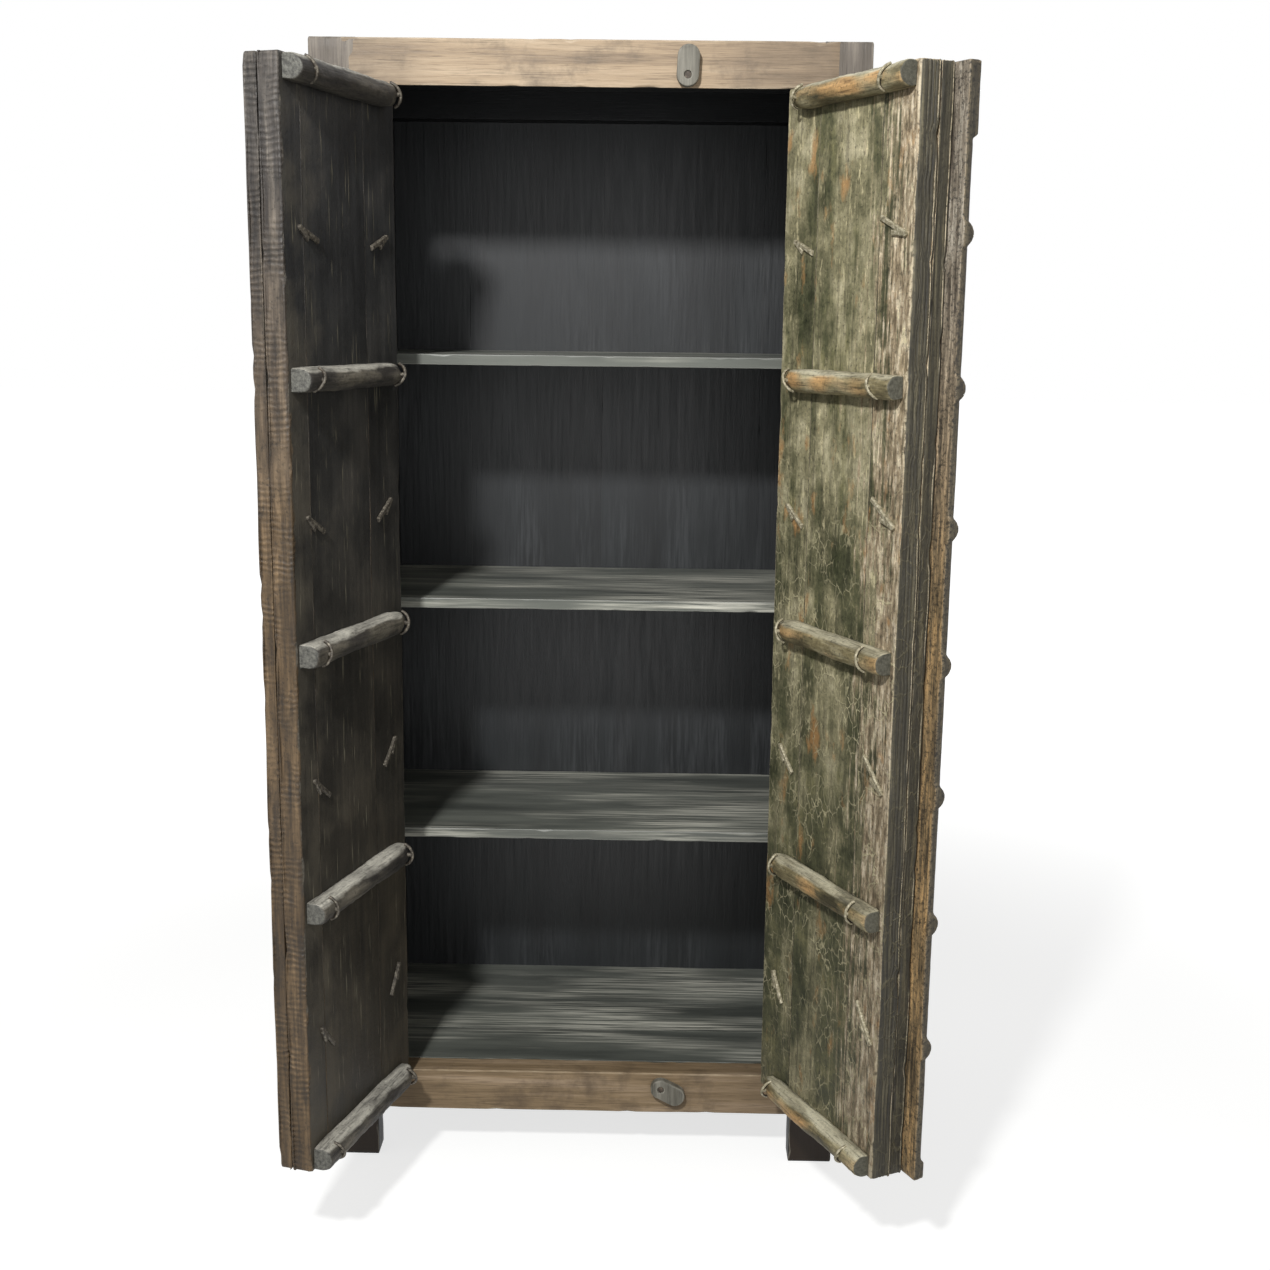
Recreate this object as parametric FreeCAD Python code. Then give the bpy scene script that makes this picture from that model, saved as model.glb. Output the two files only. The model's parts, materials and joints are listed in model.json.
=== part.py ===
"""A two-door wardrobe made of a framed case and a pair of old plank doors, in millimetres.

The case stands on four posts that run down to be its legs. Rails tenon into the posts, boards close the sides,
back, top and floor, and three shelves lie on cleats. Each door is vertical planks with stiles and ledges on its
front and half-round battens on its back, held by domed studs whose shanks are clinched over behind. The right door
carries a wide cover strip that laps over the left door. Turn buttons on the front rails hold the doors shut.

Frame: +Z up, X to the right of someone who faces the doors, Y from front to back. The pieces are drawn about the
middle of the case's footprint. They are stored with the doors open, and moved so that the origin is on the floor
under the middle of the whole.
"""

import FreeCAD, Part
import math
import os

V = FreeCAD.Vector
PIECES = {}

# Case
WIDTH = 915.0
DEPTH = 500.0
HEIGHT = 1966.0
LEG_HEIGHT = 93.0
POST_WIDTH = 80.0
POST_DEPTH = 50.0
REAR_POST_WIDTH = 60.0
TOP_RAIL_HEIGHT = 75.0
BOTTOM_RAIL_HEIGHT = 78.0
SIDE_RAIL_THICKNESS = 30.0
ARRIS = 3.0

# Joints of the case
TENON_LENGTH = 28.0
TENON_THICKNESS = 14.0
TENON_SHOULDER = 10.0
GROOVE_DEPTH = 10.0
GROOVE_OFFSET = 7.0
REBATE_LEDGE = 12.0

# Boards and shelves
SIDE_BOARD_THICKNESS = 16.0
BACK_BOARD_THICKNESS = 14.0
TOP_BOARD_THICKNESS = 16.0
FLOOR_THICKNESS = 19.0
SHELF_THICKNESS = 19.0
SHELF_SETBACK = 100.0
SHELF_COUNT = 3
CLEAT_SIZE = 24.0
SIDE_BOARD_COUNT = 3
BACK_SEAM_SHARES = (-0.277, 0.008, 0.349)
TOP_BOARD_COUNT = 3
FLOOR_BOARD_COUNT = 3
BOARD_GAP = 0.6
BACK_BOARD_MARGIN = 4.0

# Doors
OPEN_ANGLE_LEFT = 106.5
OPEN_ANGLE_RIGHT = 115.8
DOOR_CLEARANCE = 5.0
HINGE_GAP = 5.0
MEETING_GAP = 8.0
PLANK_THICKNESS = 34.0
FRONT_FRAME_THICKNESS = 24.0
DOOR_STILE_WIDTH = 80.0
LEDGE_HEIGHT = 70.0
HINGE_PLANK_SHARE = 0.36
STUD_TO_PLANK_JOINT = 12.0
NAIL_TO_PLANK_JOINT = 30.0
DOOR_ARRIS = 4.0
BEAD_LINES = (14.0, 20.0, 26.0)
BEAD_LINE_RADIUS = 1.6

# Battens behind the doors
BATTEN_SHIFTS = (0.0, -3.0, -12.0, -18.0, 0.0)
BATTEN_HEIGHT = 40.0
BATTEN_DEPTH_LEFT = 35.0
BATTEN_DEPTH_RIGHT = 31.0
BATTEN_MEETING_INSET = 14.0
BATTEN_HINGE_INSET_LEFT = 28.0
BATTEN_HINGE_INSET_RIGHT = 44.0
BATTEN_TAPER = 16.0

# Cover strip on the right door
COVER_WIDTH = 110.0
COVER_THICKNESS = 18.0
COVER_OVERHANG = 33.0
COVER_RELIEF = 1.5
COVER_CHAMFER = 6.0
KNUCKLE_RADIUS = 20.0
KNUCKLE_RISE = 4.0
KNUCKLE_INSET = 5.0
KNUCKLE_ROUNDING = 4.0
TOP_BLOCK_LENGTH = 104.0
TOP_BLOCK_THICKNESS = 7.0
FOOT_BLOCK_LENGTH = 30.0
FOOT_BLOCK_THICKNESS = 5.0

# Studs and nails
STUD_DIAMETER = 40.0
STUD_HEIGHT = 8.0
SHANK_RADIUS = 3.5
NAIL_HEAD_DIAMETER = 13.0
NAIL_HEAD_HEIGHT = 3.5
NAIL_FROM_EDGE = 62.0
STUD_CLEARANCE = 5.0
CLINCH_WIDTH = 8.0
CLINCH_THICKNESS = 4.5
CLINCH_CHAMFER = 1.8
CLINCH_LENGTH = 56.0
COVER_CLINCH_LENGTH = 70.0
SHORT_LEG_SHARE = 0.5
CLINCH_SPREAD = 17.0
CLINCH_WIRE_RADIUS = 2.5
CLINCH_SWEEP = 145.0
HINGE_CLINCH_TURNS = (20.0, 12.0)
LEFT_CLINCH_TURNS = (18.0, 10.0)
COVER_CLINCH_TURNS = (-22.0, -10.0)
HINGE_HOOP_TILTS = (-26.0, 16.0)
LEFT_HOOP_TILTS = (-30.0, 18.0)
RIGHT_HOOP_TILTS = (-28.0, 17.0)

# Butt hinges
HINGE_COUNT = 3
HINGE_HEIGHT = 78.0
HINGE_END_DISTANCE = 190.0
LEAF_THICKNESS = 2.0
LEAF_WIDTH = 30.0
BARREL_RADIUS = 5.0
BARREL_STANDOFF = 0.3
PIN_RADIUS = 2.5
PIN_CLEARANCE = 0.06
KNUCKLE_CLEARANCE = 0.3

# Turn buttons
BUTTON_LENGTH = 66.0
BUTTON_WIDTH = 37.0
BUTTON_THICKNESS = 15.0
BUTTON_ROUNDING = 2.5
BUTTON_STANDOFF = 0.3
BUTTON_SCREW_RADIUS = 2.8
BUTTON_SCREW_DEPTH = 26.0
SCREW_CLEARANCE = 0.08
COUNTERBORE_RADIUS = 6.0
COUNTERBORE_DEPTH = 6.0
SCREW_HEAD_RADIUS = 5.4
SCREW_HEAD_THICKNESS = 3.0
TOP_BUTTON_X = 158.0
TOP_BUTTON_RISE = 20.0
TOP_BUTTON_LEAN = 87.4
BOTTOM_BUTTON_X = 141.0
BOTTOM_BUTTON_DROP = 25.5
BOTTOM_BUTTON_LEAN = -27.0

# Places that follow from the sizes
FRONT = -DEPTH / 2
BACK = DEPTH / 2
BACK_INNER = BACK - BACK_BOARD_THICKNESS
REAR_POST_FRONT = BACK_INNER - POST_DEPTH
OPENING_HALF = WIDTH / 2 - POST_WIDTH
RAIL_TOP = LEG_HEIGHT + BOTTOM_RAIL_HEIGHT
RAIL_UNDER = HEIGHT - TOP_RAIL_HEIGHT
SIDE_RAIL_INNER = WIDTH / 2 - SIDE_RAIL_THICKNESS
SIDE_BOARD_OUTER = WIDTH / 2 - GROOVE_OFFSET
SIDE_BOARD_INNER = SIDE_BOARD_OUTER - SIDE_BOARD_THICKNESS
DOOR_BOTTOM = RAIL_TOP + DOOR_CLEARANCE
DOOR_TOP = RAIL_UNDER - DOOR_CLEARANCE
DOOR_WIDTH = OPENING_HALF - HINGE_GAP - MEETING_GAP / 2
DOOR_THICKNESS = FRONT_FRAME_THICKNESS + PLANK_THICKNESS
AXIS_U = -HINGE_GAP / 2
AXIS_V = -(BARREL_RADIUS + BARREL_STANDOFF)
COVER_LOW = DOOR_WIDTH + COVER_OVERHANG - COVER_WIDTH
COVER_HIGH = DOOR_WIDTH + COVER_OVERHANG
COVER_MIDDLE = (COVER_LOW + COVER_HIGH) / 2
LEFT_STUD_FROM_EDGE = COVER_OVERHANG - MEETING_GAP + STUD_CLEARANCE + STUD_DIAMETER / 2
BATTEN_PITCH = (DOOR_TOP - DOOR_BOTTOM - BATTEN_HEIGHT) / (len(BATTEN_SHIFTS) - 1)
BATTEN_LEVELS = [
    DOOR_BOTTOM + BATTEN_HEIGHT / 2 + k * BATTEN_PITCH + shift for k, shift in enumerate(BATTEN_SHIFTS)
]
MID_LEVELS = [(low + high) / 2 for low, high in zip(BATTEN_LEVELS, BATTEN_LEVELS[1:])]


def box(x, y, z):
    """A box from three (low, high) pairs."""
    size = [high - low for low, high in (x, y, z)]
    return Part.makeBox(*size, V(x[0], y[0], z[0]))


def eased(shape, axis, radius):
    """Rounds the long edges of a board, those that run along the axis."""
    index = "xyz".index(axis)
    bounds = shape.BoundBox
    length = (bounds.XLength, bounds.YLength, bounds.ZLength)[index]
    edges = []
    for edge in shape.Edges:
        start, end = edge.Vertexes[0].Point, edge.Vertexes[-1].Point
        if abs(abs(start[index] - end[index]) - length) < 0.01:
            edges.append(edge)
    return shape.makeFillet(radius, edges)


def mirrored(shape):
    """The same piece on the other side of the case."""
    return shape.mirror(V(0, 0, 0), V(1, 0, 0))


def spread(low, high, count, gap):
    """Splits a width into equal boards with a gap between them."""
    width = (high - low - gap * (count - 1)) / count
    return [(low + k * (width + gap), low + k * (width + gap) + width) for k in range(count)]


def save(name, shape):
    """Keeps a piece under its name until the whole is moved to its origin."""
    PIECES[name] = shape


def export_pieces():
    """Moves every piece so that the origin is under the middle of the whole, and writes it."""
    whole = Part.makeCompound(list(PIECES.values())).optimalBoundingBox(False)
    middle = V((whole.XMin + whole.XMax) / 2, (whole.YMin + whole.YMax) / 2, 0)
    for name, shape in PIECES.items():
        moved = shape.copy()
        moved.translate(-middle)
        moved.exportStep("parts/" + name + ".step")


def tenon_x(x, y_middle, z):
    """A tenon that runs along X, between the shoulders of a rail of height z."""
    thickness = (y_middle - TENON_THICKNESS / 2, y_middle + TENON_THICKNESS / 2)
    return box(x, thickness, (z[0] + TENON_SHOULDER, z[1] - TENON_SHOULDER))


def tenon_y(x_middle, y, z):
    """A tenon that runs along Y, between the shoulders of a side rail of height z."""
    thickness = (x_middle - TENON_THICKNESS / 2, x_middle + TENON_THICKNESS / 2)
    return box(thickness, y, (z[0] + TENON_SHOULDER, z[1] - TENON_SHOULDER))


# Heights of the rails, which the mortises share
TOP_RAIL_Z = (RAIL_UNDER, HEIGHT)
BOTTOM_RAIL_Z = (LEG_HEIGHT, RAIL_TOP)
REAR_BOTTOM_RAIL_Z = (LEG_HEIGHT, RAIL_TOP - FLOOR_THICKNESS)
FRONT_RAIL_MIDDLE = FRONT + POST_DEPTH / 2
REAR_RAIL_MIDDLE = REAR_POST_FRONT + POST_DEPTH / 2
SIDE_RAIL_MIDDLE = WIDTH / 2 - SIDE_RAIL_THICKNESS / 2
SIDE_RAIL_Y = (FRONT + POST_DEPTH, REAR_POST_FRONT)
REAR_OPENING_HALF = WIDTH / 2 - REAR_POST_WIDTH


def side_panel_space():
    """The space that the right side's boards fill, tongues included."""
    y = (SIDE_RAIL_Y[0] - GROOVE_DEPTH, SIDE_RAIL_Y[1] + GROOVE_DEPTH)
    z = (RAIL_TOP - GROOVE_DEPTH, RAIL_UNDER + GROOVE_DEPTH)
    return (SIDE_BOARD_INNER, SIDE_BOARD_OUTER), y, z


def front_post():
    """The right front post, with mortises for the front and side rails and a groove for the side boards."""
    post = box((OPENING_HALF, WIDTH / 2), (FRONT, FRONT + POST_DEPTH), (0, HEIGHT))
    post = eased(post, "z", ARRIS)
    for z in (TOP_RAIL_Z, BOTTOM_RAIL_Z):
        post = post.cut(tenon_x((OPENING_HALF, OPENING_HALF + TENON_LENGTH), FRONT_RAIL_MIDDLE, z))
        post = post.cut(tenon_y(SIDE_RAIL_MIDDLE, (SIDE_RAIL_Y[0] - TENON_LENGTH, SIDE_RAIL_Y[0]), z))
    return post.cut(box(*side_panel_space()))


def rear_post():
    """The right rear post, which stops in front of the back boards."""
    post = box((REAR_OPENING_HALF, WIDTH / 2), (REAR_POST_FRONT, BACK_INNER), (0, HEIGHT))
    post = eased(post, "z", ARRIS)
    for z in (TOP_RAIL_Z, REAR_BOTTOM_RAIL_Z):
        post = post.cut(tenon_x((REAR_OPENING_HALF, REAR_OPENING_HALF + TENON_LENGTH), REAR_RAIL_MIDDLE, z))
    for z in (TOP_RAIL_Z, BOTTOM_RAIL_Z):
        post = post.cut(tenon_y(SIDE_RAIL_MIDDLE, (SIDE_RAIL_Y[1], SIDE_RAIL_Y[1] + TENON_LENGTH), z))
    return post.cut(box(*side_panel_space()))


def cross_rail(half, y, y_middle, z):
    """A rail across the case between two posts, with a tenon at each end."""
    rail = eased(box((-half, half), y, z), "x", ARRIS)
    return rail.fuse(tenon_x((-half - TENON_LENGTH, half + TENON_LENGTH), y_middle, z)).removeSplitter()


def side_rail(z, board_thickness, panel_above):
    """A rail of the right side, with a ledge inside for the boards that lie on it."""
    rail = eased(box((SIDE_RAIL_INNER, WIDTH / 2), SIDE_RAIL_Y, z), "y", ARRIS)
    tenon_span = (SIDE_RAIL_Y[0] - TENON_LENGTH, SIDE_RAIL_Y[1] + TENON_LENGTH)
    rail = rail.fuse(tenon_y(SIDE_RAIL_MIDDLE, tenon_span, z)).removeSplitter()
    groove = (z[1] - GROOVE_DEPTH, z[1]) if panel_above else (z[0], z[0] + GROOVE_DEPTH)
    rail = rail.cut(box((SIDE_BOARD_INNER, SIDE_BOARD_OUTER), SIDE_RAIL_Y, groove))
    ledge = (SIDE_RAIL_INNER, min(SIDE_RAIL_INNER + REBATE_LEDGE, SIDE_BOARD_INNER))
    return rail.cut(box(ledge, SIDE_RAIL_Y, (z[1] - board_thickness, z[1])))


def side_boards():
    """Upright boards of the right side, with their edges in the grooves."""
    x, y, z = side_panel_space()
    return Part.makeCompound([box(x, part, z) for part in spread(*y, SIDE_BOARD_COUNT, BOARD_GAP)])


def back_boards():
    """Upright boards nailed over the rear posts and rails."""
    half = WIDTH / 2 - BACK_BOARD_MARGIN
    seams = [share * WIDTH for share in BACK_SEAM_SHARES]
    lows = [-half] + [seam + BOARD_GAP / 2 for seam in seams]
    highs = [seam - BOARD_GAP / 2 for seam in seams] + [half]
    boards = [box(x, (BACK_INNER, BACK), (LEG_HEIGHT, HEIGHT)) for x in zip(lows, highs)]
    return Part.makeCompound(boards)


def lying_boards(z, count):
    """Boards that run across the case and lie on the ledges of the side rails."""
    half = min(SIDE_RAIL_INNER + REBATE_LEDGE, SIDE_BOARD_INNER)
    return [box((-half, half), y, z) for y in spread(*SIDE_RAIL_Y, count, BOARD_GAP)]


def top_boards():
    return Part.makeCompound(lying_boards((HEIGHT - TOP_BOARD_THICKNESS, HEIGHT), TOP_BOARD_COUNT))


def floor_boards():
    """The floor, whose last board lies on the rear rail between the rear posts."""
    z = (RAIL_TOP - FLOOR_THICKNESS, RAIL_TOP)
    rear = box((-REAR_OPENING_HALF, REAR_OPENING_HALF), (REAR_POST_FRONT, BACK_INNER), z)
    return Part.makeCompound(lying_boards(z, FLOOR_BOARD_COUNT) + [rear])


def shelf_tops():
    """Heights of the shelves, which share out the opening evenly."""
    pitch = (RAIL_UNDER - RAIL_TOP) / (SHELF_COUNT + 1)
    return [RAIL_TOP + pitch * (k + 1) for k in range(SHELF_COUNT)]


def shelf(top):
    """A shelf board, notched round the rear posts."""
    z = (top - SHELF_THICKNESS, top)
    front = FRONT + SHELF_SETBACK
    board = box((-SIDE_BOARD_INNER, SIDE_BOARD_INNER), (front, BACK_INNER), z)
    notch = box((REAR_OPENING_HALF, WIDTH / 2), (REAR_POST_FRONT, BACK_INNER), z)
    return eased(board.cut(notch).cut(mirrored(notch)), "x", ARRIS / 2)


def shelf_cleats():
    """Square cleats on the side boards, one under each end of each shelf."""
    cleats = []
    for top in shelf_tops():
        under = top - SHELF_THICKNESS
        z = (under - CLEAT_SIZE, under)
        cleat = box((SIDE_BOARD_INNER - CLEAT_SIZE, SIDE_BOARD_INNER), SIDE_RAIL_Y, z)
        cleats += [cleat, mirrored(cleat)]
    return Part.makeCompound(cleats)


# Doors are drawn shut, with x = u from the hinge edge and y = v from the front face, hinges on the left.


def stand(shape, side):
    """Takes a door piece from its own frame to its place on the case, with the door open."""
    placed = shape.copy()
    edge_x = OPENING_HALF - HINGE_GAP
    placed.translate(V(-edge_x, FRONT, 0))
    axis = V(-edge_x + AXIS_U, FRONT + AXIS_V, 0)
    if side == "left":
        placed.rotate(axis, V(0, 0, 1), -OPEN_ANGLE_LEFT)
        return placed
    placed.rotate(axis, V(0, 0, 1), -OPEN_ANGLE_RIGHT)
    return mirrored(placed)


def plank_spans(side):
    """Where the three planks of a door lie along u. The meeting plank takes in the studs or nails beside the
    free edge, and the other two share out the rest."""
    if side == "left":
        meeting = LEFT_STUD_FROM_EDGE + STUD_TO_PLANK_JOINT
    else:
        meeting = NAIL_FROM_EDGE + NAIL_TO_PLANK_JOINT
    second_joint = DOOR_WIDTH - meeting
    first_joint = second_joint * HINGE_PLANK_SHARE
    return {
        "hinge": (0, first_joint),
        "middle": (first_joint + BOARD_GAP, second_joint - BOARD_GAP),
        "meeting": (second_joint, DOOR_WIDTH),
    }


def plank(span, holes):
    board = box(span, (FRONT_FRAME_THICKNESS, DOOR_THICKNESS), (DOOR_BOTTOM, DOOR_TOP))
    return board.cut(holes)


def beaded(board):
    """Scores the bead lines down a meeting plank's free edge, each a set distance from the inner face."""
    for line in BEAD_LINES:
        start = V(DOOR_WIDTH, DOOR_THICKNESS - line, DOOR_BOTTOM)
        board = board.cut(Part.makeCylinder(BEAD_LINE_RADIUS, DOOR_TOP - DOOR_BOTTOM, start))
    return board


def door_stile(span, holes):
    board = box(span, (0, FRONT_FRAME_THICKNESS), (DOOR_BOTTOM, DOOR_TOP))
    return eased(board, "z", DOOR_ARRIS).cut(holes)


def door_ledges():
    """Ledges between the stiles on the front of a door, one at each batten."""
    ledges = []
    lowest = DOOR_BOTTOM + LEDGE_HEIGHT / 2
    highest = DOOR_TOP - LEDGE_HEIGHT / 2
    for level in BATTEN_LEVELS:
        middle = min(max(level, lowest), highest)
        z = (middle - LEDGE_HEIGHT / 2, middle + LEDGE_HEIGHT / 2)
        span = (DOOR_STILE_WIDTH, DOOR_WIDTH - DOOR_STILE_WIDTH)
        ledges.append(eased(box(span, (0, FRONT_FRAME_THICKNESS), z), "x", DOOR_ARRIS))
    return Part.makeCompound(ledges)


def batten_depth(side):
    return BATTEN_DEPTH_LEFT if side == "left" else BATTEN_DEPTH_RIGHT


def batten_start(side):
    return BATTEN_HINGE_INSET_LEFT if side == "left" else BATTEN_HINGE_INSET_RIGHT


def batten_crown(side):
    """The v of the axis that a batten's round side turns about."""
    return DOOR_THICKNESS + batten_depth(side) - BATTEN_HEIGHT / 2


def batten(side, level):
    """A half-round batten, flat against the planks and cut away at its hinge end."""
    half = BATTEN_HEIGHT / 2
    start, end = batten_start(side), DOOR_WIDTH - BATTEN_MEETING_INSET
    crown, peak = batten_crown(side), DOOR_THICKNESS + batten_depth(side)
    corners = [V(start, crown, level + half), V(start, DOOR_THICKNESS, level + half)]
    corners += [V(start, DOOR_THICKNESS, level - half), V(start, crown, level - half)]
    edges = [Part.LineSegment(a, b).toShape() for a, b in zip(corners, corners[1:])]
    edges.append(Part.Arc(corners[-1], V(start, peak, level), corners[0]).toShape())
    bar = Part.Face(Part.Wire(edges)).extrude(V(end - start, 0, 0))
    slope = [V(start - 1, peak - BATTEN_TAPER, 0), V(start + BATTEN_TAPER, peak + 1, 0), V(start - 1, peak + 1, 0)]
    wedge = Part.Face(Part.makePolygon(slope + slope[:1])).extrude(V(0, 0, BATTEN_HEIGHT))
    wedge.translate(V(0, 0, level - half))
    return bar.cut(wedge)


def dome(u, v, z, diameter, height):
    """A round head that bulges towards the front from the face at v."""
    radius = diameter / 2
    bulge = (radius**2 + height**2) / (2 * height)
    slant = math.asin(radius / bulge) / 2
    crest = V(u, v - height, z)
    rim = V(u + radius, v, z)
    half_way = V(u + bulge * math.sin(slant), v - height + bulge * (1 - math.cos(slant)), z)
    outline = [Part.Arc(crest, half_way, rim).toShape()]
    outline += [Part.LineSegment(rim, V(u, v, z)).toShape(), Part.LineSegment(V(u, v, z), crest).toShape()]
    return Part.Face(Part.Wire(outline)).revolve(V(u, v, z), V(0, 1, 0), 360)


def shank(u, v, z):
    """A shank from v = (front, back)."""
    return Part.makeCylinder(SHANK_RADIUS, v[1] - v[0], V(u, v[0], z), V(0, 1, 0))


def split_clinch(u, z, direction, turn, reach):
    """Two legs of a split shank, bent flat on the planks towards +u or -u and turned down by some degrees."""
    legs = None
    for angle, length in ((turn, reach), (turn + CLINCH_SPREAD, reach * SHORT_LEG_SHARE)):
        v = (DOOR_THICKNESS, DOOR_THICKNESS + CLINCH_THICKNESS)
        leg = box((u, u + length), v, (z - CLINCH_WIDTH / 2, z + CLINCH_WIDTH / 2))
        crown = [e for e in leg.Edges if e.BoundBox.YMin > DOOR_THICKNESS + CLINCH_THICKNESS / 2]
        leg = leg.makeChamfer(CLINCH_CHAMFER, crown)
        leg.rotate(V(u, 0, z), V(0, 1, 0), 180 - angle if direction < 0 else angle)
        legs = legs.fuse(leg) if legs else leg
    return legs


def batten_clinch(side, u, z, tilt):
    """A shank's end, bent over the round of a batten and beaten a little way into it."""
    crown = batten_crown(side)
    centre = V(u, crown, z)
    section = Part.makeCircle(CLINCH_WIRE_RADIUS, V(u, crown + BATTEN_HEIGHT / 2, z), V(0, 0, 1))
    hoop = Part.Face(Part.Wire(section)).revolve(centre, V(1, 0, 0), CLINCH_SWEEP)
    hoop.rotate(centre, V(1, 0, 0), -CLINCH_SWEEP / 2)
    hoop.rotate(centre, V(0, 1, 0), tilt)
    return hoop


def plank_stud(u, front, z, direction, turn, reach=CLINCH_LENGTH):
    """A domed stud through stile and plank, clinched flat behind."""
    body = dome(u, front, z, STUD_DIAMETER, STUD_HEIGHT)
    body = body.fuse(shank(u, (front, DOOR_THICKNESS + CLINCH_THICKNESS), z))
    return body.fuse(split_clinch(u, z, direction, turn, reach)).removeSplitter()


def batten_stud(side, u, front, z, head, tilt):
    """A stud or nail that goes on through a batten and is clinched over it. head is (diameter, height)."""
    body = dome(u, front, z, *head)
    body = body.fuse(shank(u, (front, DOOR_THICKNESS + batten_depth(side)), z))
    return body.fuse(batten_clinch(side, u, z, tilt)).removeSplitter()


def blind_stud(u, front, z):
    """A domed stud whose shank stops inside the plank."""
    body = dome(u, front, z, STUD_DIAMETER, STUD_HEIGHT)
    return body.fuse(shank(u, (front, DOOR_THICKNESS - SHANK_RADIUS), z)).removeSplitter()


def uneven(k, least, step):
    """Hand-bent angles: four values that take turns."""
    return least + step * ((k * 7 + 3) % 4)


STUD_HEAD = (STUD_DIAMETER, STUD_HEIGHT)
NAIL_HEAD = (NAIL_HEAD_DIAMETER, NAIL_HEAD_HEIGHT)


def hinge_stile_studs(side):
    """The studs of a door's hinge stile, at the battens and half way between them."""
    middle = DOOR_STILE_WIDTH / 2
    over_batten = max(middle, batten_start(side) + BATTEN_TAPER + SHANK_RADIUS)
    studs = [plank_stud(middle, 0, z, 1, uneven(k, *HINGE_CLINCH_TURNS)) for k, z in enumerate(MID_LEVELS)]
    for k, z in enumerate(BATTEN_LEVELS):
        studs.append(batten_stud(side, over_batten, 0, z, STUD_HEAD, uneven(k, *HINGE_HOOP_TILTS)))
    return studs


def left_door_studs():
    u = DOOR_WIDTH - LEFT_STUD_FROM_EDGE
    studs = hinge_stile_studs("left")
    studs += [plank_stud(u, 0, z, -1, uneven(k, *LEFT_CLINCH_TURNS)) for k, z in enumerate(MID_LEVELS)]
    for k, z in enumerate(BATTEN_LEVELS):
        studs.append(batten_stud("left", u, 0, z, STUD_HEAD, uneven(k, *LEFT_HOOP_TILTS)))
    return studs


def cover_rise(z):
    """How far the cover strip's end blocks and knuckles raise its face at the level z of a batten."""
    if z > DOOR_TOP - TOP_BLOCK_LENGTH:
        return TOP_BLOCK_THICKNESS
    return FOOT_BLOCK_THICKNESS if z < DOOR_BOTTOM + FOOT_BLOCK_LENGTH else KNUCKLE_RISE


def cover_studs():
    """The studs along the middle of the cover strip."""
    studs = []
    for k, z in enumerate(MID_LEVELS):
        turn = uneven(k, *COVER_CLINCH_TURNS)
        studs.append(plank_stud(COVER_MIDDLE, -COVER_THICKNESS, z, -1, turn, COVER_CLINCH_LENGTH))
    for z in BATTEN_LEVELS[1:-1]:
        studs.append(blind_stud(COVER_MIDDLE, -COVER_THICKNESS, z))
    for z in (BATTEN_LEVELS[0], BATTEN_LEVELS[-1]):
        studs.append(blind_stud(COVER_MIDDLE, -COVER_THICKNESS - cover_rise(z), z))
    return studs


def right_batten_nails():
    """Small nails through the right door's meeting stile and battens."""
    u = DOOR_WIDTH - NAIL_FROM_EDGE
    return [
        batten_stud("right", u, -COVER_THICKNESS - cover_rise(z), z, NAIL_HEAD, uneven(k, *RIGHT_HOOP_TILTS))
        for k, z in enumerate(BATTEN_LEVELS)
    ]


def knuckle(level):
    """A round swelling carved right across the cover strip, flat behind."""
    middle = KNUCKLE_RADIUS - KNUCKLE_RISE - COVER_THICKNESS
    roll = Part.makeCylinder(KNUCKLE_RADIUS, COVER_WIDTH, V(COVER_LOW, middle, level), V(1, 0, 0))
    rims = [e for e in roll.Edges if e.BoundBox.XLength < 0.01]
    roll = roll.makeFillet(KNUCKLE_ROUNDING, rims)
    front = (middle - KNUCKLE_RADIUS, -COVER_RELIEF)
    return roll.common(box((COVER_LOW, COVER_HIGH), front, (level - KNUCKLE_RADIUS, level + KNUCKLE_RADIUS)))


def cover_strip(holes):
    """The strip that covers the meeting of the doors, swelling to a knuckle at each stud and thicker at its ends."""
    z = (DOOR_BOTTOM, DOOR_TOP)
    strip = box((COVER_LOW + KNUCKLE_INSET, COVER_HIGH - KNUCKLE_INSET), (-COVER_THICKNESS, 0), z)
    fronts = [e for e in strip.Edges if e.BoundBox.ZLength > 1 and e.BoundBox.YMax < -COVER_THICKNESS / 2]
    strip = strip.makeChamfer(COVER_CHAMFER, fronts)
    strip = strip.cut(box((DOOR_WIDTH, COVER_HIGH), (-COVER_RELIEF, 0), z))
    for level in MID_LEVELS + BATTEN_LEVELS[1:-1]:
        strip = strip.fuse(knuckle(level))
    inner = (COVER_LOW + COVER_CHAMFER, COVER_HIGH - COVER_CHAMFER)
    blocks = (
        (TOP_BLOCK_THICKNESS, (DOOR_TOP - TOP_BLOCK_LENGTH, DOOR_TOP)),
        (FOOT_BLOCK_THICKNESS, (DOOR_BOTTOM, DOOR_BOTTOM + FOOT_BLOCK_LENGTH)),
    )
    for thickness, span in blocks:
        block = box(inner, (-COVER_THICKNESS - thickness, -COVER_THICKNESS / 2), span)
        fronts = [e for e in block.Edges if e.BoundBox.YMax < -COVER_THICKNESS - thickness / 2]
        strip = strip.fuse(block.makeChamfer(thickness / 2, fronts))
    return strip.removeSplitter().cut(holes)


def hinge_levels():
    """Middles of the hinges, the outer ones a set distance from the door's ends."""
    low, high = DOOR_BOTTOM + HINGE_END_DISTANCE, DOOR_TOP - HINGE_END_DISTANCE
    return [low + k * (high - low) / (HINGE_COUNT - 1) for k in range(HINGE_COUNT)]


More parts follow.
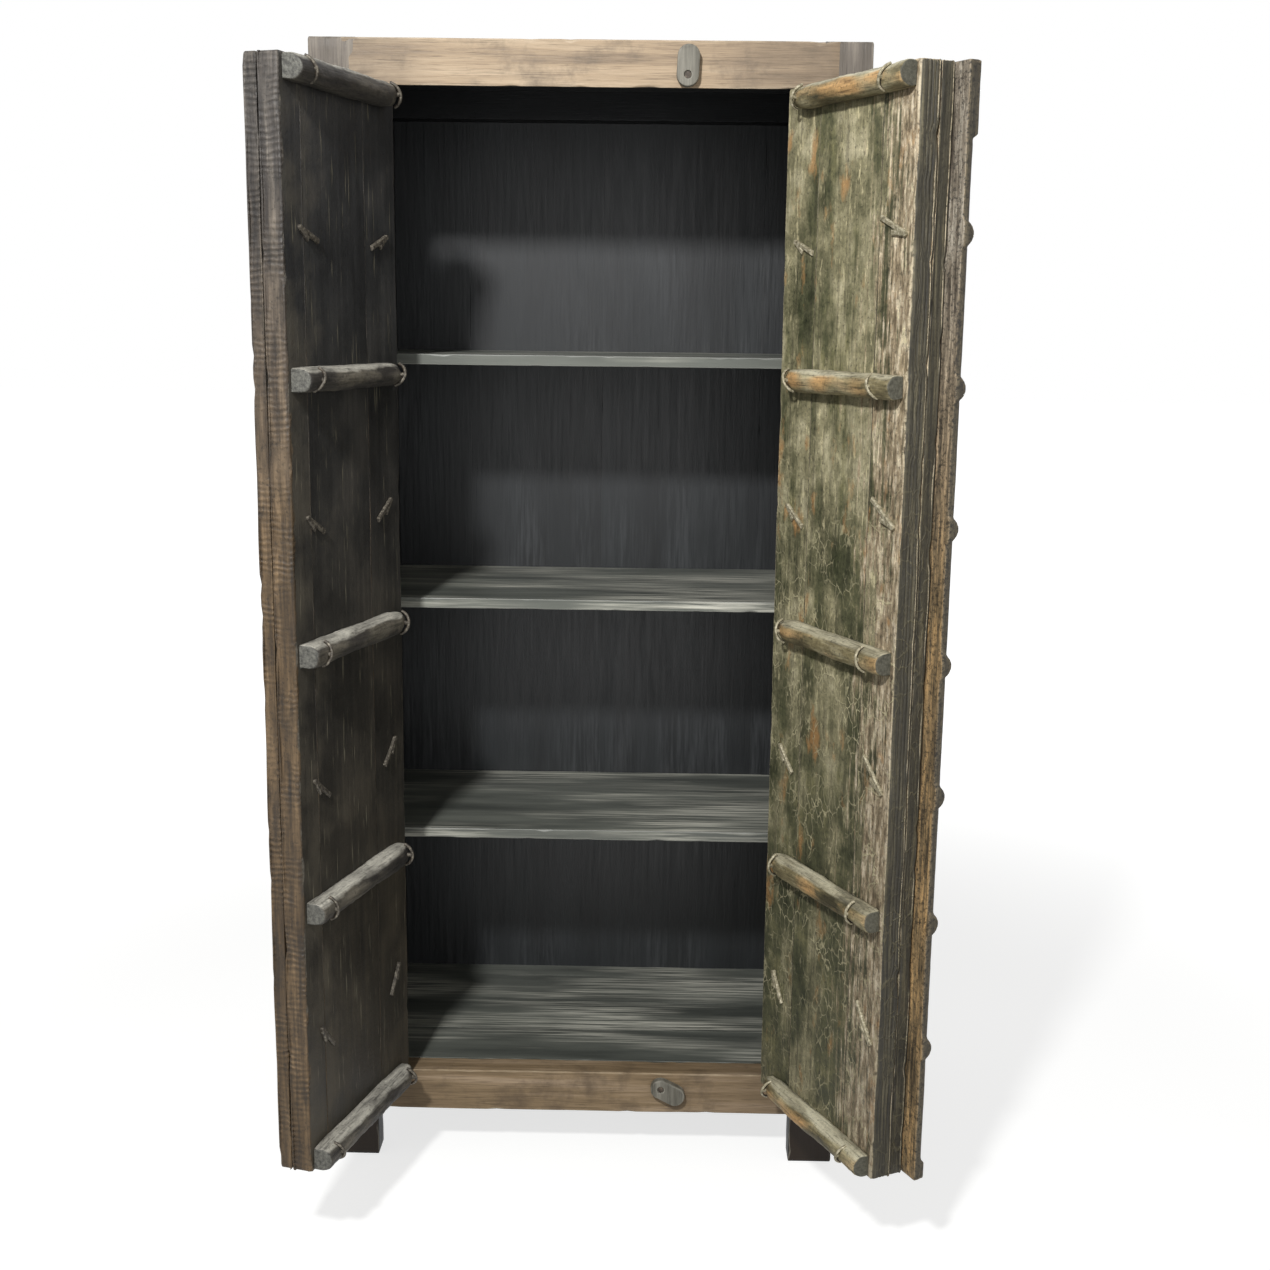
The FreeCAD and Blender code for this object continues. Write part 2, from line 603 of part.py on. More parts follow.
def knuckle_spans(level):
    """Heights of a hinge's three knuckles, from the bottom up."""
    third = HINGE_HEIGHT / 3
    bottom = level - HINGE_HEIGHT / 2
    gap = KNUCKLE_CLEARANCE / 2
    return [(bottom + k * third + gap, bottom + (k + 1) * third - gap) for k in range(3)]


def hinge_leaf(level, span, knuckles, bore):
    """One leaf: a plate along the wood at u = span, and knuckles joined to it by short webs."""
    inner_end = BARREL_RADIUS + KNUCKLE_CLEARANCE + AXIS_V
    z = (level - HINGE_HEIGHT / 2 + KNUCKLE_CLEARANCE / 2, level + HINGE_HEIGHT / 2 - KNUCKLE_CLEARANCE / 2)
    leaf = box(span, (inner_end, inner_end + LEAF_WIDTH), z)
    for low, high in knuckles:
        barrel = Part.makeCylinder(BARREL_RADIUS, high - low, V(AXIS_U, AXIS_V, low))
        web = box(span, (AXIS_V, inner_end), (low, high))
        leaf = leaf.fuse(barrel).fuse(web)
        leaf = leaf.cut(Part.makeCylinder(bore, high - low, V(AXIS_U, AXIS_V, low)))
    return leaf.removeSplitter()


def case_leaves():
    """Leaves on the post, with the outer knuckles, which grip the pins."""
    span = (-HINGE_GAP, -HINGE_GAP + LEAF_THICKNESS)
    return [hinge_leaf(level, span, knuckle_spans(level)[::2], PIN_RADIUS) for level in hinge_levels()]


def door_leaves():
    """Leaves on the door's edge, with the middle knuckle, which turns on the pin."""
    span = (-LEAF_THICKNESS, 0)
    bore = PIN_RADIUS + PIN_CLEARANCE
    return [hinge_leaf(level, span, knuckle_spans(level)[1:2], bore) for level in hinge_levels()]


def hinge_pins():
    return [
        Part.makeCylinder(PIN_RADIUS, HINGE_HEIGHT, V(AXIS_U, AXIS_V, level - HINGE_HEIGHT / 2))
        for level in hinge_levels()
    ]


def shut(shape, side):
    """Takes a fixed hinge piece from the door's frame to its place on the case."""
    placed = shape.copy()
    placed.translate(V(HINGE_GAP - OPENING_HALF, FRONT, 0))
    return placed if side == "left" else mirrored(placed)


def turn_button(x, z, lean):
    """A round-ended button that turns on a screw near one end. lean is where it points, 90 straight up."""
    radius = BUTTON_WIDTH / 2
    reach = BUTTON_LENGTH - BUTTON_WIDTH
    back = FRONT - BUTTON_STANDOFF
    face = back - BUTTON_THICKNESS
    body = Part.makeCylinder(radius, BUTTON_THICKNESS, V(x, face, z), V(0, 1, 0))
    body = body.fuse(Part.makeCylinder(radius, BUTTON_THICKNESS, V(x + reach, face, z), V(0, 1, 0)))
    body = body.fuse(box((x, x + reach), (face, back), (z - radius, z + radius))).removeSplitter()
    rim = [e for e in body.Edges if e.BoundBox.YMax < face + BUTTON_ROUNDING]
    body = body.makeFillet(BUTTON_ROUNDING, rim)
    hole = BUTTON_SCREW_RADIUS + SCREW_CLEARANCE
    body = body.cut(Part.makeCylinder(hole, BUTTON_THICKNESS, V(x, face, z), V(0, 1, 0)))
    body = body.cut(Part.makeCylinder(COUNTERBORE_RADIUS, COUNTERBORE_DEPTH, V(x, face, z), V(0, 1, 0)))
    body.rotate(V(x, 0, z), V(0, -1, 0), lean)
    return body


def screw_shank(x, z):
    """The space that a button's screw takes in the rail."""
    return Part.makeCylinder(BUTTON_SCREW_RADIUS, BUTTON_SCREW_DEPTH, V(x, FRONT, z), V(0, 1, 0))


def button_screw(x, z):
    """The screw that a button turns on, with its head in the button's counterbore."""
    seat = FRONT - BUTTON_STANDOFF - BUTTON_THICKNESS + COUNTERBORE_DEPTH - BUTTON_STANDOFF
    head = Part.makeCylinder(SCREW_HEAD_RADIUS, SCREW_HEAD_THICKNESS, V(x, seat - SCREW_HEAD_THICKNESS, z), V(0, 1, 0))
    neck = Part.makeCylinder(BUTTON_SCREW_RADIUS, FRONT - seat, V(x, seat, z), V(0, 1, 0))
    return head.fuse(neck).fuse(screw_shank(x, z)).removeSplitter()


def build_case():
    front, rear = front_post(), rear_post()
    save("right_front_post", front)
    save("left_front_post", mirrored(front))
    save("right_rear_post", rear)
    save("left_rear_post", mirrored(rear))
    front_y, rear_y = (FRONT, FRONT + POST_DEPTH), (REAR_POST_FRONT, BACK_INNER)
    top_rail = cross_rail(OPENING_HALF, front_y, FRONT_RAIL_MIDDLE, TOP_RAIL_Z)
    bottom_rail = cross_rail(OPENING_HALF, front_y, FRONT_RAIL_MIDDLE, BOTTOM_RAIL_Z)
    save("top_front_rail", top_rail.cut(screw_shank(*TOP_BUTTON)))
    save("bottom_front_rail", bottom_rail.cut(screw_shank(*BOTTOM_BUTTON)))
    save("top_rear_rail", cross_rail(REAR_OPENING_HALF, rear_y, REAR_RAIL_MIDDLE, TOP_RAIL_Z))
    save("bottom_rear_rail", cross_rail(REAR_OPENING_HALF, rear_y, REAR_RAIL_MIDDLE, REAR_BOTTOM_RAIL_Z))
    upper = side_rail(TOP_RAIL_Z, TOP_BOARD_THICKNESS, False)
    lower = side_rail(BOTTOM_RAIL_Z, FLOOR_THICKNESS, True)
    save("right_top_side_rail", upper)
    save("left_top_side_rail", mirrored(upper))
    save("right_bottom_side_rail", lower)
    save("left_bottom_side_rail", mirrored(lower))
    boards = side_boards()
    save("right_side_boards", boards)
    save("left_side_boards", mirrored(boards))
    save("back_boards", back_boards())
    save("top_boards", top_boards())
    save("floor_boards", floor_boards())
    for name, top in zip(("lower_shelf", "middle_shelf", "upper_shelf"), shelf_tops()):
        save(name, shelf(top))
    save("shelf_cleats", shelf_cleats())


def build_door(side, studs, nails, fixed_cover):
    """One door: its planks, front frame, battens and studs, bored where the shanks pass."""
    fixings = studs + nails
    holes = Part.makeCompound(fixings)
    for name, span in plank_spans(side).items():
        board = plank(span, holes)
        if fixed_cover and name == "meeting":
            board = beaded(board)
        save(f"{side}_door_{name}_plank", stand(board, side))
    save(f"{side}_door_hinge_stile", stand(door_stile((0, DOOR_STILE_WIDTH), holes), side))
    meeting = (DOOR_WIDTH - DOOR_STILE_WIDTH, DOOR_WIDTH)
    save(f"{side}_door_meeting_stile", stand(door_stile(meeting, holes), side))
    save(f"{side}_door_ledges", stand(door_ledges(), side))
    for k, level in enumerate(BATTEN_LEVELS):
        save(f"{side}_batten_{k + 1}", stand(batten(side, level).cut(holes), side))
    save(f"{side}_door_studs", stand(Part.makeCompound(studs), side))
    if nails:
        save(f"{side}_batten_nails", stand(Part.makeCompound(nails), side))
    if fixed_cover:
        save(f"{side}_door_cover_strip", stand(cover_strip(holes), side))


def build_hinges():
    pins = []
    for side in ("left", "right"):
        save(f"{side}_hinge_case_leaves", Part.makeCompound([shut(leaf, side) for leaf in case_leaves()]))
        save(f"{side}_hinge_door_leaves", stand(Part.makeCompound(door_leaves()), side))
        pins += [shut(pin, side) for pin in hinge_pins()]
    save("hinge_pins", Part.makeCompound(pins))


TOP_BUTTON = (TOP_BUTTON_X, RAIL_UNDER + TOP_BUTTON_RISE)
BOTTOM_BUTTON = (BOTTOM_BUTTON_X, RAIL_TOP - BOTTOM_BUTTON_DROP)


def build_buttons():
    save("top_turn_button", turn_button(*TOP_BUTTON, TOP_BUTTON_LEAN))
    save("top_button_screw", button_screw(*TOP_BUTTON))
    save("bottom_turn_button", turn_button(*BOTTOM_BUTTON, BOTTOM_BUTTON_LEAN))
    save("bottom_button_screw", button_screw(*BOTTOM_BUTTON))


def main():
    os.makedirs("parts", exist_ok=True)
    build_case()
    build_door("left", left_door_studs(), [], False)
    build_door("right", hinge_stile_studs("right") + cover_studs(), right_batten_nails(), True)
    build_hinges()
    build_buttons()
    export_pieces()


main()
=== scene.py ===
"""Looks of an old plank-door wardrobe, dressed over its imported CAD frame.

Every wooden board is rebuilt as a worn board: its arrises are rounded unevenly, its faces wave a little, its ends
are broken, and the free edges of the doors are roughly hewn. Doors are drawn shut, where their boards lie along the
axes, and then swung to where the CAD has them. Cover strip and turn buttons are softened copies of their CAD shapes.
Forged fixings, hinges and screws keep theirs.
"""

import json
import math

import bmesh
import bpy
from mathutils import Matrix, Vector, noise


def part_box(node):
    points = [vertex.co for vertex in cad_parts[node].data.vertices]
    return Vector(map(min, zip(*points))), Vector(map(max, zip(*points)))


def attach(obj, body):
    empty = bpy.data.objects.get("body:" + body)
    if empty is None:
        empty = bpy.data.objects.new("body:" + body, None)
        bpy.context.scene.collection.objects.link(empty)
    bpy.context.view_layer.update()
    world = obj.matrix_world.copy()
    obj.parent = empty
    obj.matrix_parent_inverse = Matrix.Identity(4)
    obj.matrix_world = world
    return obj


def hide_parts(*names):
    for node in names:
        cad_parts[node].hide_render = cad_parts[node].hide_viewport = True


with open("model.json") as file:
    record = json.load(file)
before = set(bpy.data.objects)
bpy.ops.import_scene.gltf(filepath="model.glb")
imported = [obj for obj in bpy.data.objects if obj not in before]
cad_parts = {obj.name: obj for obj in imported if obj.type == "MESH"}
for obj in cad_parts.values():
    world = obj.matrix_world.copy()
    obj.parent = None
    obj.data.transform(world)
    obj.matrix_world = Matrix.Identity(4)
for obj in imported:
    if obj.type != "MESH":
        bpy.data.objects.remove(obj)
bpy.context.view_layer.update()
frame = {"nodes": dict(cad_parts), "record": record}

MM = 0.001
X, Y, Z = 0, 1, 2

SLOT_OF = {part["node"]: part["material_slot"] for part in frame["record"]["subparts"]}
JOINTS = {joint["name"]: joint for joint in frame["record"]["behaviour"]["joints"]}


def swing(joint):
    """The turn that takes a shut door to where it stands open at rest."""
    hinge = JOINTS[joint]
    point = Vector(hinge["pos_m"])
    turn = Matrix.Rotation(-math.radians(hinge["range_deg"][0]), 4, Vector(hinge["axis"]))
    return Matrix.Translation(point) @ turn @ Matrix.Translation(-point)


PLACE = {
    "case": Matrix.Identity(4),
    "left_door": swing("left_door_hinge"),
    "right_door": swing("right_door_hinge"),
    "top_button": Matrix.Identity(4),
    "bottom_button": Matrix.Identity(4),
}


# Materials


def linear(hex_colour):
    """An sRGB hex value as linear RGBA."""
    channels = [int(hex_colour[i:i + 2], 16) / 255 for i in (1, 3, 5)]
    return tuple(c / 12.92 if c <= 0.04045 else ((c + 0.055) / 1.055) ** 2.4 for c in channels) + (1.0,)


def per_mm(size):
    """The scale at which a pattern repeats about every so many millimetres."""
    return 1 / (size * MM)


def add(tree, kind, inputs=None, out=0, stops=None, **settings):
    """Adds a shader node with its settings, links and values, and returns one of its outputs."""
    node = tree.nodes.new("ShaderNode" + kind)
    for name, value in settings.items():
        setattr(node, name, value)
    for key, value in (inputs or {}).items():
        if isinstance(value, bpy.types.NodeSocket):
            tree.links.new(value, node.inputs[key])
        else:
            node.inputs[key].default_value = value
    if stops:
        ramp = node.color_ramp.elements
        while len(ramp) < len(stops):
            ramp.new(1.0)
        for element, (position, colour) in zip(ramp, stops):
            element.position = position
            element.color = linear(colour) if isinstance(colour, str) else (colour, colour, colour, 1.0)
    return node.outputs[out]


# Sockets of a colour mix, and settings that many nodes share
FACTOR, UNDER, OVER = 0, 6, 7
COLOUR = {"out": 2, "data_type": "RGBA"}
SHADED = {**COLOUR, "blend_type": "MULTIPLY"}
TIMES = {"operation": "MULTIPLY"}
TIMES_PLUS = {"operation": "MULTIPLY_ADD"}


def start_material(name):
    material = bpy.data.materials.new(name)
    material.use_nodes = True
    return material, material.node_tree, material.node_tree.nodes["Principled BSDF"]


TONE_SHIFT_M = 9.0


def board_space(tree):
    """The piece's own coordinates, shifted from board to board so that no two show the same grain."""
    own = add(tree, "TexCoord", out="Object")
    tone = add(tree, "Attribute", out="Fac", attribute_name="tone")
    shift = add(tree, "Math", {0: tone, 1: TONE_SHIFT_M}, **TIMES)
    return add(tree, "VectorMath", {0: own, 1: shift}, operation="ADD")


def grain(tree, where, along, across_mm, length_mm, detail, rough):
    """Fibres drawn out along a board, about this wide and this long."""
    scale = [per_mm(across_mm)] * 3
    scale[along] = per_mm(length_mm)
    stretched = add(tree, "Mapping", {"Vector": where, "Scale": scale})
    return add(tree, "TexNoise", {"Vector": stretched, "Scale": 1.0, "Detail": detail, "Roughness": rough})


def face_share(tree, axis, sign, start=0.55):
    """How far a surface looks along an axis of its own piece."""
    own = add(tree, "TexCoord", out="Normal")
    part = add(tree, "SeparateXYZ", {"Vector": own}, out=axis)
    return add(tree, "MapRange", {"Value": part, "From Min": start * sign, "From Max": 0.8 * sign})


def finish_surface(tree, shader, colour, sheen, relief, depth_mm, spread=(0.3, 0.7)):
    """Joins colour, roughness and relief to the shader. sheen is a pattern and the roughness at both ends of its
    spread."""
    pattern, first, last = sheen
    rough = add(tree, "MapRange", {"Value": pattern, "From Min": spread[0], "From Max": spread[1], "To Min": first,
                                   "To Max": last})
    bumped = add(tree, "Bump", {"Height": relief, "Distance": depth_mm * MM})
    tree.links.new(colour, shader.inputs["Base Color"])
    tree.links.new(rough, shader.inputs["Roughness"])
    tree.links.new(bumped, shader.inputs["Normal"])


# Black of the stained inner faces, also used as painted shade on faces that look down.
BLACK_STAIN_AND_SHADE = "#17191B"


def stained_timber(name, along, tones, blotch, worn, rough, ends=0.0, foot=None):
    """A hardwood board, stained and waxed: bands of grain with dark pores, stains in patches, rubbed arrises, darker
    ends where hands reached it, a foot that darkens towards the floor, black stain on the faces that look into the
    case, and painted shade in the same black on the faces that look down."""
    material, tree, shader = start_material(name)
    where = board_space(tree)
    bands = grain(tree, where, along, across_mm=20, length_mm=420, detail=5.0, rough=0.64)
    pores = grain(tree, where, along, across_mm=2.0, length_mm=55, detail=4.0, rough=0.62)
    patches = add(tree, "TexNoise", {"Vector": where, "Scale": per_mm(100), "Detail": 6.0, "Roughness": 0.66})
    colour = add(tree, "ValToRGB", {"Fac": bands}, stops=[(0.3, tones[0]), (0.5, tones[1]), (0.68, tones[2])])
    shade = add(tree, "ValToRGB", {"Fac": pores}, stops=[(0.3, 0.45), (0.47, 1.0), (0.75, 1.15)])
    colour = add(tree, "Mix", {FACTOR: 0.8, UNDER: colour, OVER: shade}, **SHADED)
    stain = add(tree, "ValToRGB", {"Fac": patches}, stops=[(0.52, 0.0), (0.68, 0.65)])
    colour = add(tree, "Mix", {FACTOR: stain, UNDER: colour, OVER: linear(blotch)}, **COLOUR)
    if ends:
        across = add(tree, "Attribute", out="Fac", attribute_name="across")
        near = add(tree, "ValToRGB", {"Fac": across}, stops=[(0.1, ends), (0.24, 0.0), (0.7, 0.0), (0.9, ends)])
        broken = add(tree, "Math", {0: near, 1: patches}, **TIMES)
        colour = add(tree, "Mix", {FACTOR: broken, UNDER: colour, OVER: linear(blotch)}, **COLOUR)
    if foot:
        # Darker towards the foot, fading out by six tenths of the height.
        height = add(tree, "Attribute", out="Fac", attribute_name="height")
        low = add(tree, "ValToRGB", {"Fac": height}, stops=[(0.06, 1.0), (0.6, 0.0)])
        colour = add(tree, "Mix", {FACTOR: low, UNDER: colour, OVER: linear(foot)}, **COLOUR)
    arris = add(tree, "Attribute", out="Fac", attribute_name="arris")
    handled = grain(tree, where, along, across_mm=6, length_mm=50, detail=4.0, rough=0.6)
    rubbed = add(tree, "ValToRGB", {"Fac": handled}, stops=[(0.4, 0.0), (0.62, 0.7)])
    wear = add(tree, "Math", {0: arris, 1: rubbed}, **TIMES)
    colour = add(tree, "Mix", {FACTOR: wear, UNDER: colour, OVER: linear(worn)}, **COLOUR)
    # Faces that look into the case get black stain; faces that look down get the same black as painted shade.
    inside = add(tree, "Attribute", out="Fac", attribute_name="inside")
    colour = add(tree, "Mix", {FACTOR: inside, UNDER: colour, OVER: linear(BLACK_STAIN_AND_SHADE)}, **COLOUR)
    relief = add(tree, "Math", {0: pores, 1: 0.6, 2: patches}, **TIMES_PLUS)
    finish_surface(tree, shader, colour, (bands, rough - 0.08, rough + 0.1), relief, depth_mm=1.0)
    shader.inputs["Specular IOR Level"].default_value = 0.3
    return material


def ebonised_boards(name, along, tones, dry, dry_share, streak_mm, edge_wear_and_highlight):
    """Softwood boards stained black and rubbed back with wax: near black, dry grey streaks along the grain in drifts,
    a soft sheen, and a pale line on the arrises that is partly lost stain and partly a painted highlight."""
    material, tree, shader = start_material(name)
    where = board_space(tree)
    bands = grain(tree, where, along, across_mm=60, length_mm=500, detail=4.0, rough=0.55)
    streak = grain(tree, where, along, *streak_mm, detail=5.0, rough=0.62)
    drift = grain(tree, where, along, across_mm=110, length_mm=480, detail=3.0, rough=0.5)
    colour = add(tree, "ValToRGB", {"Fac": bands}, stops=[(0.34, tones[0]), (0.66, tones[1])])
    brushed = add(tree, "ValToRGB", {"Fac": streak}, stops=[(0.42, 0.0), (0.66, 1.0)])
    drifts = add(tree, "ValToRGB", {"Fac": drift}, stops=[(0.42, 0.0), (0.62, dry_share)])
    share = add(tree, "Math", {0: brushed, 1: drifts}, **TIMES)
    colour = add(tree, "Mix", {FACTOR: share, UNDER: colour, OVER: linear(dry)}, **COLOUR)
    # Pale arrises: partly stain worn off, partly a painted highlight on the edges.
    arris = add(tree, "Attribute", out="Fac", attribute_name="arris")
    edge = add(tree, "Math", {0: arris, 1: edge_wear_and_highlight}, **TIMES)
    colour = add(tree, "Mix", {FACTOR: edge, UNDER: colour, OVER: linear("#8E8F89")}, **COLOUR)
    finish_surface(tree, shader, colour, (streak, 0.36, 0.55), streak, depth_mm=0.4)
    return material


DOOR_MARKS = ("across", "height", "arris")


def olive_planks():
    """Teak planks under old olive paint: fields of dark green and pale olive in upright runs, flakes, pale crackle low
    down, orange bare patches, a rubbed band beside the free edge, the free edge and the weathered front darker,
    and painted shade low on the door with painted light high up."""
    material, tree, shader = start_material("teak_plank_olive_paint")
    where = board_space(tree)
    across, height, arris = (add(tree, "Attribute", out="Fac", attribute_name=mark) for mark in DOOR_MARKS)
    patches = add(tree, "TexNoise", {"Vector": where, "Scale": per_mm(80), "Detail": 7.0, "Roughness": 0.68})
    runs = grain(tree, where, Z, across_mm=8, length_mm=170, detail=6.0, rough=0.68)
    speckle = add(tree, "TexNoise", {"Vector": where, "Scale": per_mm(6), "Detail": 4.0, "Roughness": 0.65})

    green = add(tree, "ValToRGB", {"Fac": patches}, stops=[(0.36, "#31341F"), (0.5, "#525239"), (0.64, "#767250")])
    olive = add(tree, "ValToRGB", {"Fac": patches}, stops=[(0.36, "#56543D"), (0.5, "#878163"), (0.64, "#B2AA8B")])
    broad = grain(tree, where, Z, across_mm=100, length_mm=340, detail=5.0, rough=0.66)
    spread = add(tree, "Math", {0: height, 1: 0.09, 2: broad}, **TIMES_PLUS)
    fields = add(tree, "ValToRGB", {"Fac": spread}, stops=[(0.5, 0.0), (0.62, 1.0)])
    paint = add(tree, "Mix", {FACTOR: fields, UNDER: green, OVER: olive}, **COLOUR)
    flakes = grain(tree, where, Z, across_mm=11, length_mm=45, detail=6.0, rough=0.7)
    bare = add(tree, "ValToRGB", {"Fac": flakes}, stops=[(0.38, "#5E523F"), (0.5, "#9A8A70"), (0.62, "#D3C5AC")])
    lost = add(tree, "Math", {0: across, 1: 0.8, 2: runs}, **TIMES_PLUS)
    lost = add(tree, "Math", {0: patches, 1: 0.5, 2: lost}, **TIMES_PLUS)
    lost = add(tree, "MapRange", {"Value": lost, "From Min": 1.32, "From Max": 1.46}, interpolation_type="SMOOTHSTEP")
    colour = add(tree, "Mix", {FACTOR: lost, UNDER: paint, OVER: bare}, **COLOUR)
    shade = add(tree, "ValToRGB", {"Fac": runs}, stops=[(0.33, 0.5), (0.48, 1.0), (0.64, 1.25)])
    colour = add(tree, "Mix", {FACTOR: 0.85, UNDER: colour, OVER: shade}, **SHADED)
    flaked = add(tree, "ValToRGB", {"Fac": flakes}, stops=[(0.56, 0.0), (0.63, 0.75)])
    flaked = add(tree, "Math", {0: flaked, 1: fields}, **TIMES)
    colour = add(tree, "Mix", {FACTOR: flaked, UNDER: colour, OVER: linear("#CFC49C")}, **COLOUR)

    torn = grain(tree, where, Z, across_mm=42, length_mm=95, detail=5.0, rough=0.6)
    orange = add(tree, "ValToRGB", {"Fac": torn}, stops=[(0.59, 0.0), (0.68, 0.75)])
    colour = add(tree, "Mix", {FACTOR: orange, UNDER: colour, OVER: linear("#A98050")}, **COLOUR)
    pits = add(tree, "ValToRGB", {"Fac": speckle}, stops=[(0.34, 0.4), (0.45, 1.0), (0.58, 1.0), (0.7, 1.7)])
    colour = add(tree, "Mix", {FACTOR: 0.9, UNDER: colour, OVER: pits}, **SHADED)

    sway = add(tree, "TexNoise", {"Vector": where, "Scale": per_mm(34), "Detail": 3.0}, "Color")
    bent = add(tree, "VectorMath", {0: sway, 1: (0.03, 0.03, 0.03), 2: where}, **TIMES_PLUS)
    cells = add(tree, "Mapping", {"Vector": bent, "Scale": (per_mm(17), per_mm(17), per_mm(30))})
    gap = add(tree, "TexVoronoi", {"Vector": cells, "Scale": 1.0}, feature="DISTANCE_TO_EDGE")
    crackle = add(tree, "ValToRGB", {"Fac": gap}, stops=[(0.012, 1.0), (0.06, 0.0)])
    drift = add(tree, "TexNoise", {"Vector": where, "Scale": per_mm(60), "Detail": 4.0, "Roughness": 0.65})
    crackled = add(tree, "ValToRGB", {"Fac": drift}, stops=[(0.44, 0.0), (0.62, 0.75)])
    crackle = add(tree, "Math", {0: crackle, 1: crackled}, **TIMES)
    low_down = add(tree, "ValToRGB", {"Fac": height}, stops=[(0.45, 1.0), (0.75, 0.1)])
    crackle = add(tree, "Math", {0: crackle, 1: low_down}, **TIMES)
    indoors = add(tree, "Math", {0: 1.0, 1: face_share(tree, Y, -1.0)}, operation="SUBTRACT")
    crackle = add(tree, "Math", {0: crackle, 1: indoors}, **TIMES)
    rubbed = add(tree, "ValToRGB", {"Fac": speckle}, stops=[(0.42, 0.0), (0.55, 0.75)])
    wear = add(tree, "Math", {0: arris, 1: rubbed}, **TIMES)
    colour = add(tree, "Mix", {FACTOR: wear, UNDER: colour, OVER: linear("#C6B99C")}, **COLOUR)

    lines = grain(tree, where, Z, across_mm=5, length_mm=130, detail=6.0, rough=0.7)
    edge = add(tree, "ValToRGB", {"Fac": lines}, stops=[(0.34, "#23211A"), (0.52, "#3D392D"), (0.68, "#6A634E")])
    edge = add(tree, "Mix", {FACTOR: 0.8, UNDER: edge, OVER: pits}, **SHADED)
    on_edge = face_share(tree, X, -1.0)
    colour = add(tree, "Mix", {FACTOR: on_edge, UNDER: colour, OVER: edge}, **COLOUR)
    cracked = add(tree, "Mix", {FACTOR: on_edge, UNDER: linear("#C9C09A"), OVER: linear("#6F6850")}, **COLOUR)
    colour = add(tree, "Mix", {FACTOR: crackle, UNDER: colour, OVER: cracked}, **COLOUR)
    # Painted shade and light: the paint is darkened towards the bottom of the door and brightened towards the top.
    painted_falloff = add(tree, "ValToRGB", {"Fac": height}, stops=[(0.0, 0.72), (0.4, 0.94), (0.62, 1.12), (1.0, 1.16)])
    colour = add(tree, "Mix", {FACTOR: 1.0, UNDER: colour, OVER: painted_falloff}, **SHADED)
    weathered = add(tree, "Mix", {FACTOR: 1.0, UNDER: colour, OVER: linear("#A89C86")}, **SHADED)
    colour = add(tree, "Mix", {FACTOR: indoors, UNDER: weathered, OVER: colour}, **COLOUR)

    relief = add(tree, "Math", {0: runs, 1: 0.7, 2: patches}, **TIMES_PLUS)
    relief = add(tree, "Math", {0: crackle, 1: 0.7, 2: relief}, **TIMES_PLUS)
    relief = add(tree, "Math", {0: speckle, 1: 0.4, 2: relief}, **TIMES_PLUS)
    finish_surface(tree, shader, colour, (patches, 0.55, 0.8), relief, depth_mm=2.0)
    return material


WAVE_REPEAT = 0.314  # a wave texture of scale 1 repeats about every so many units


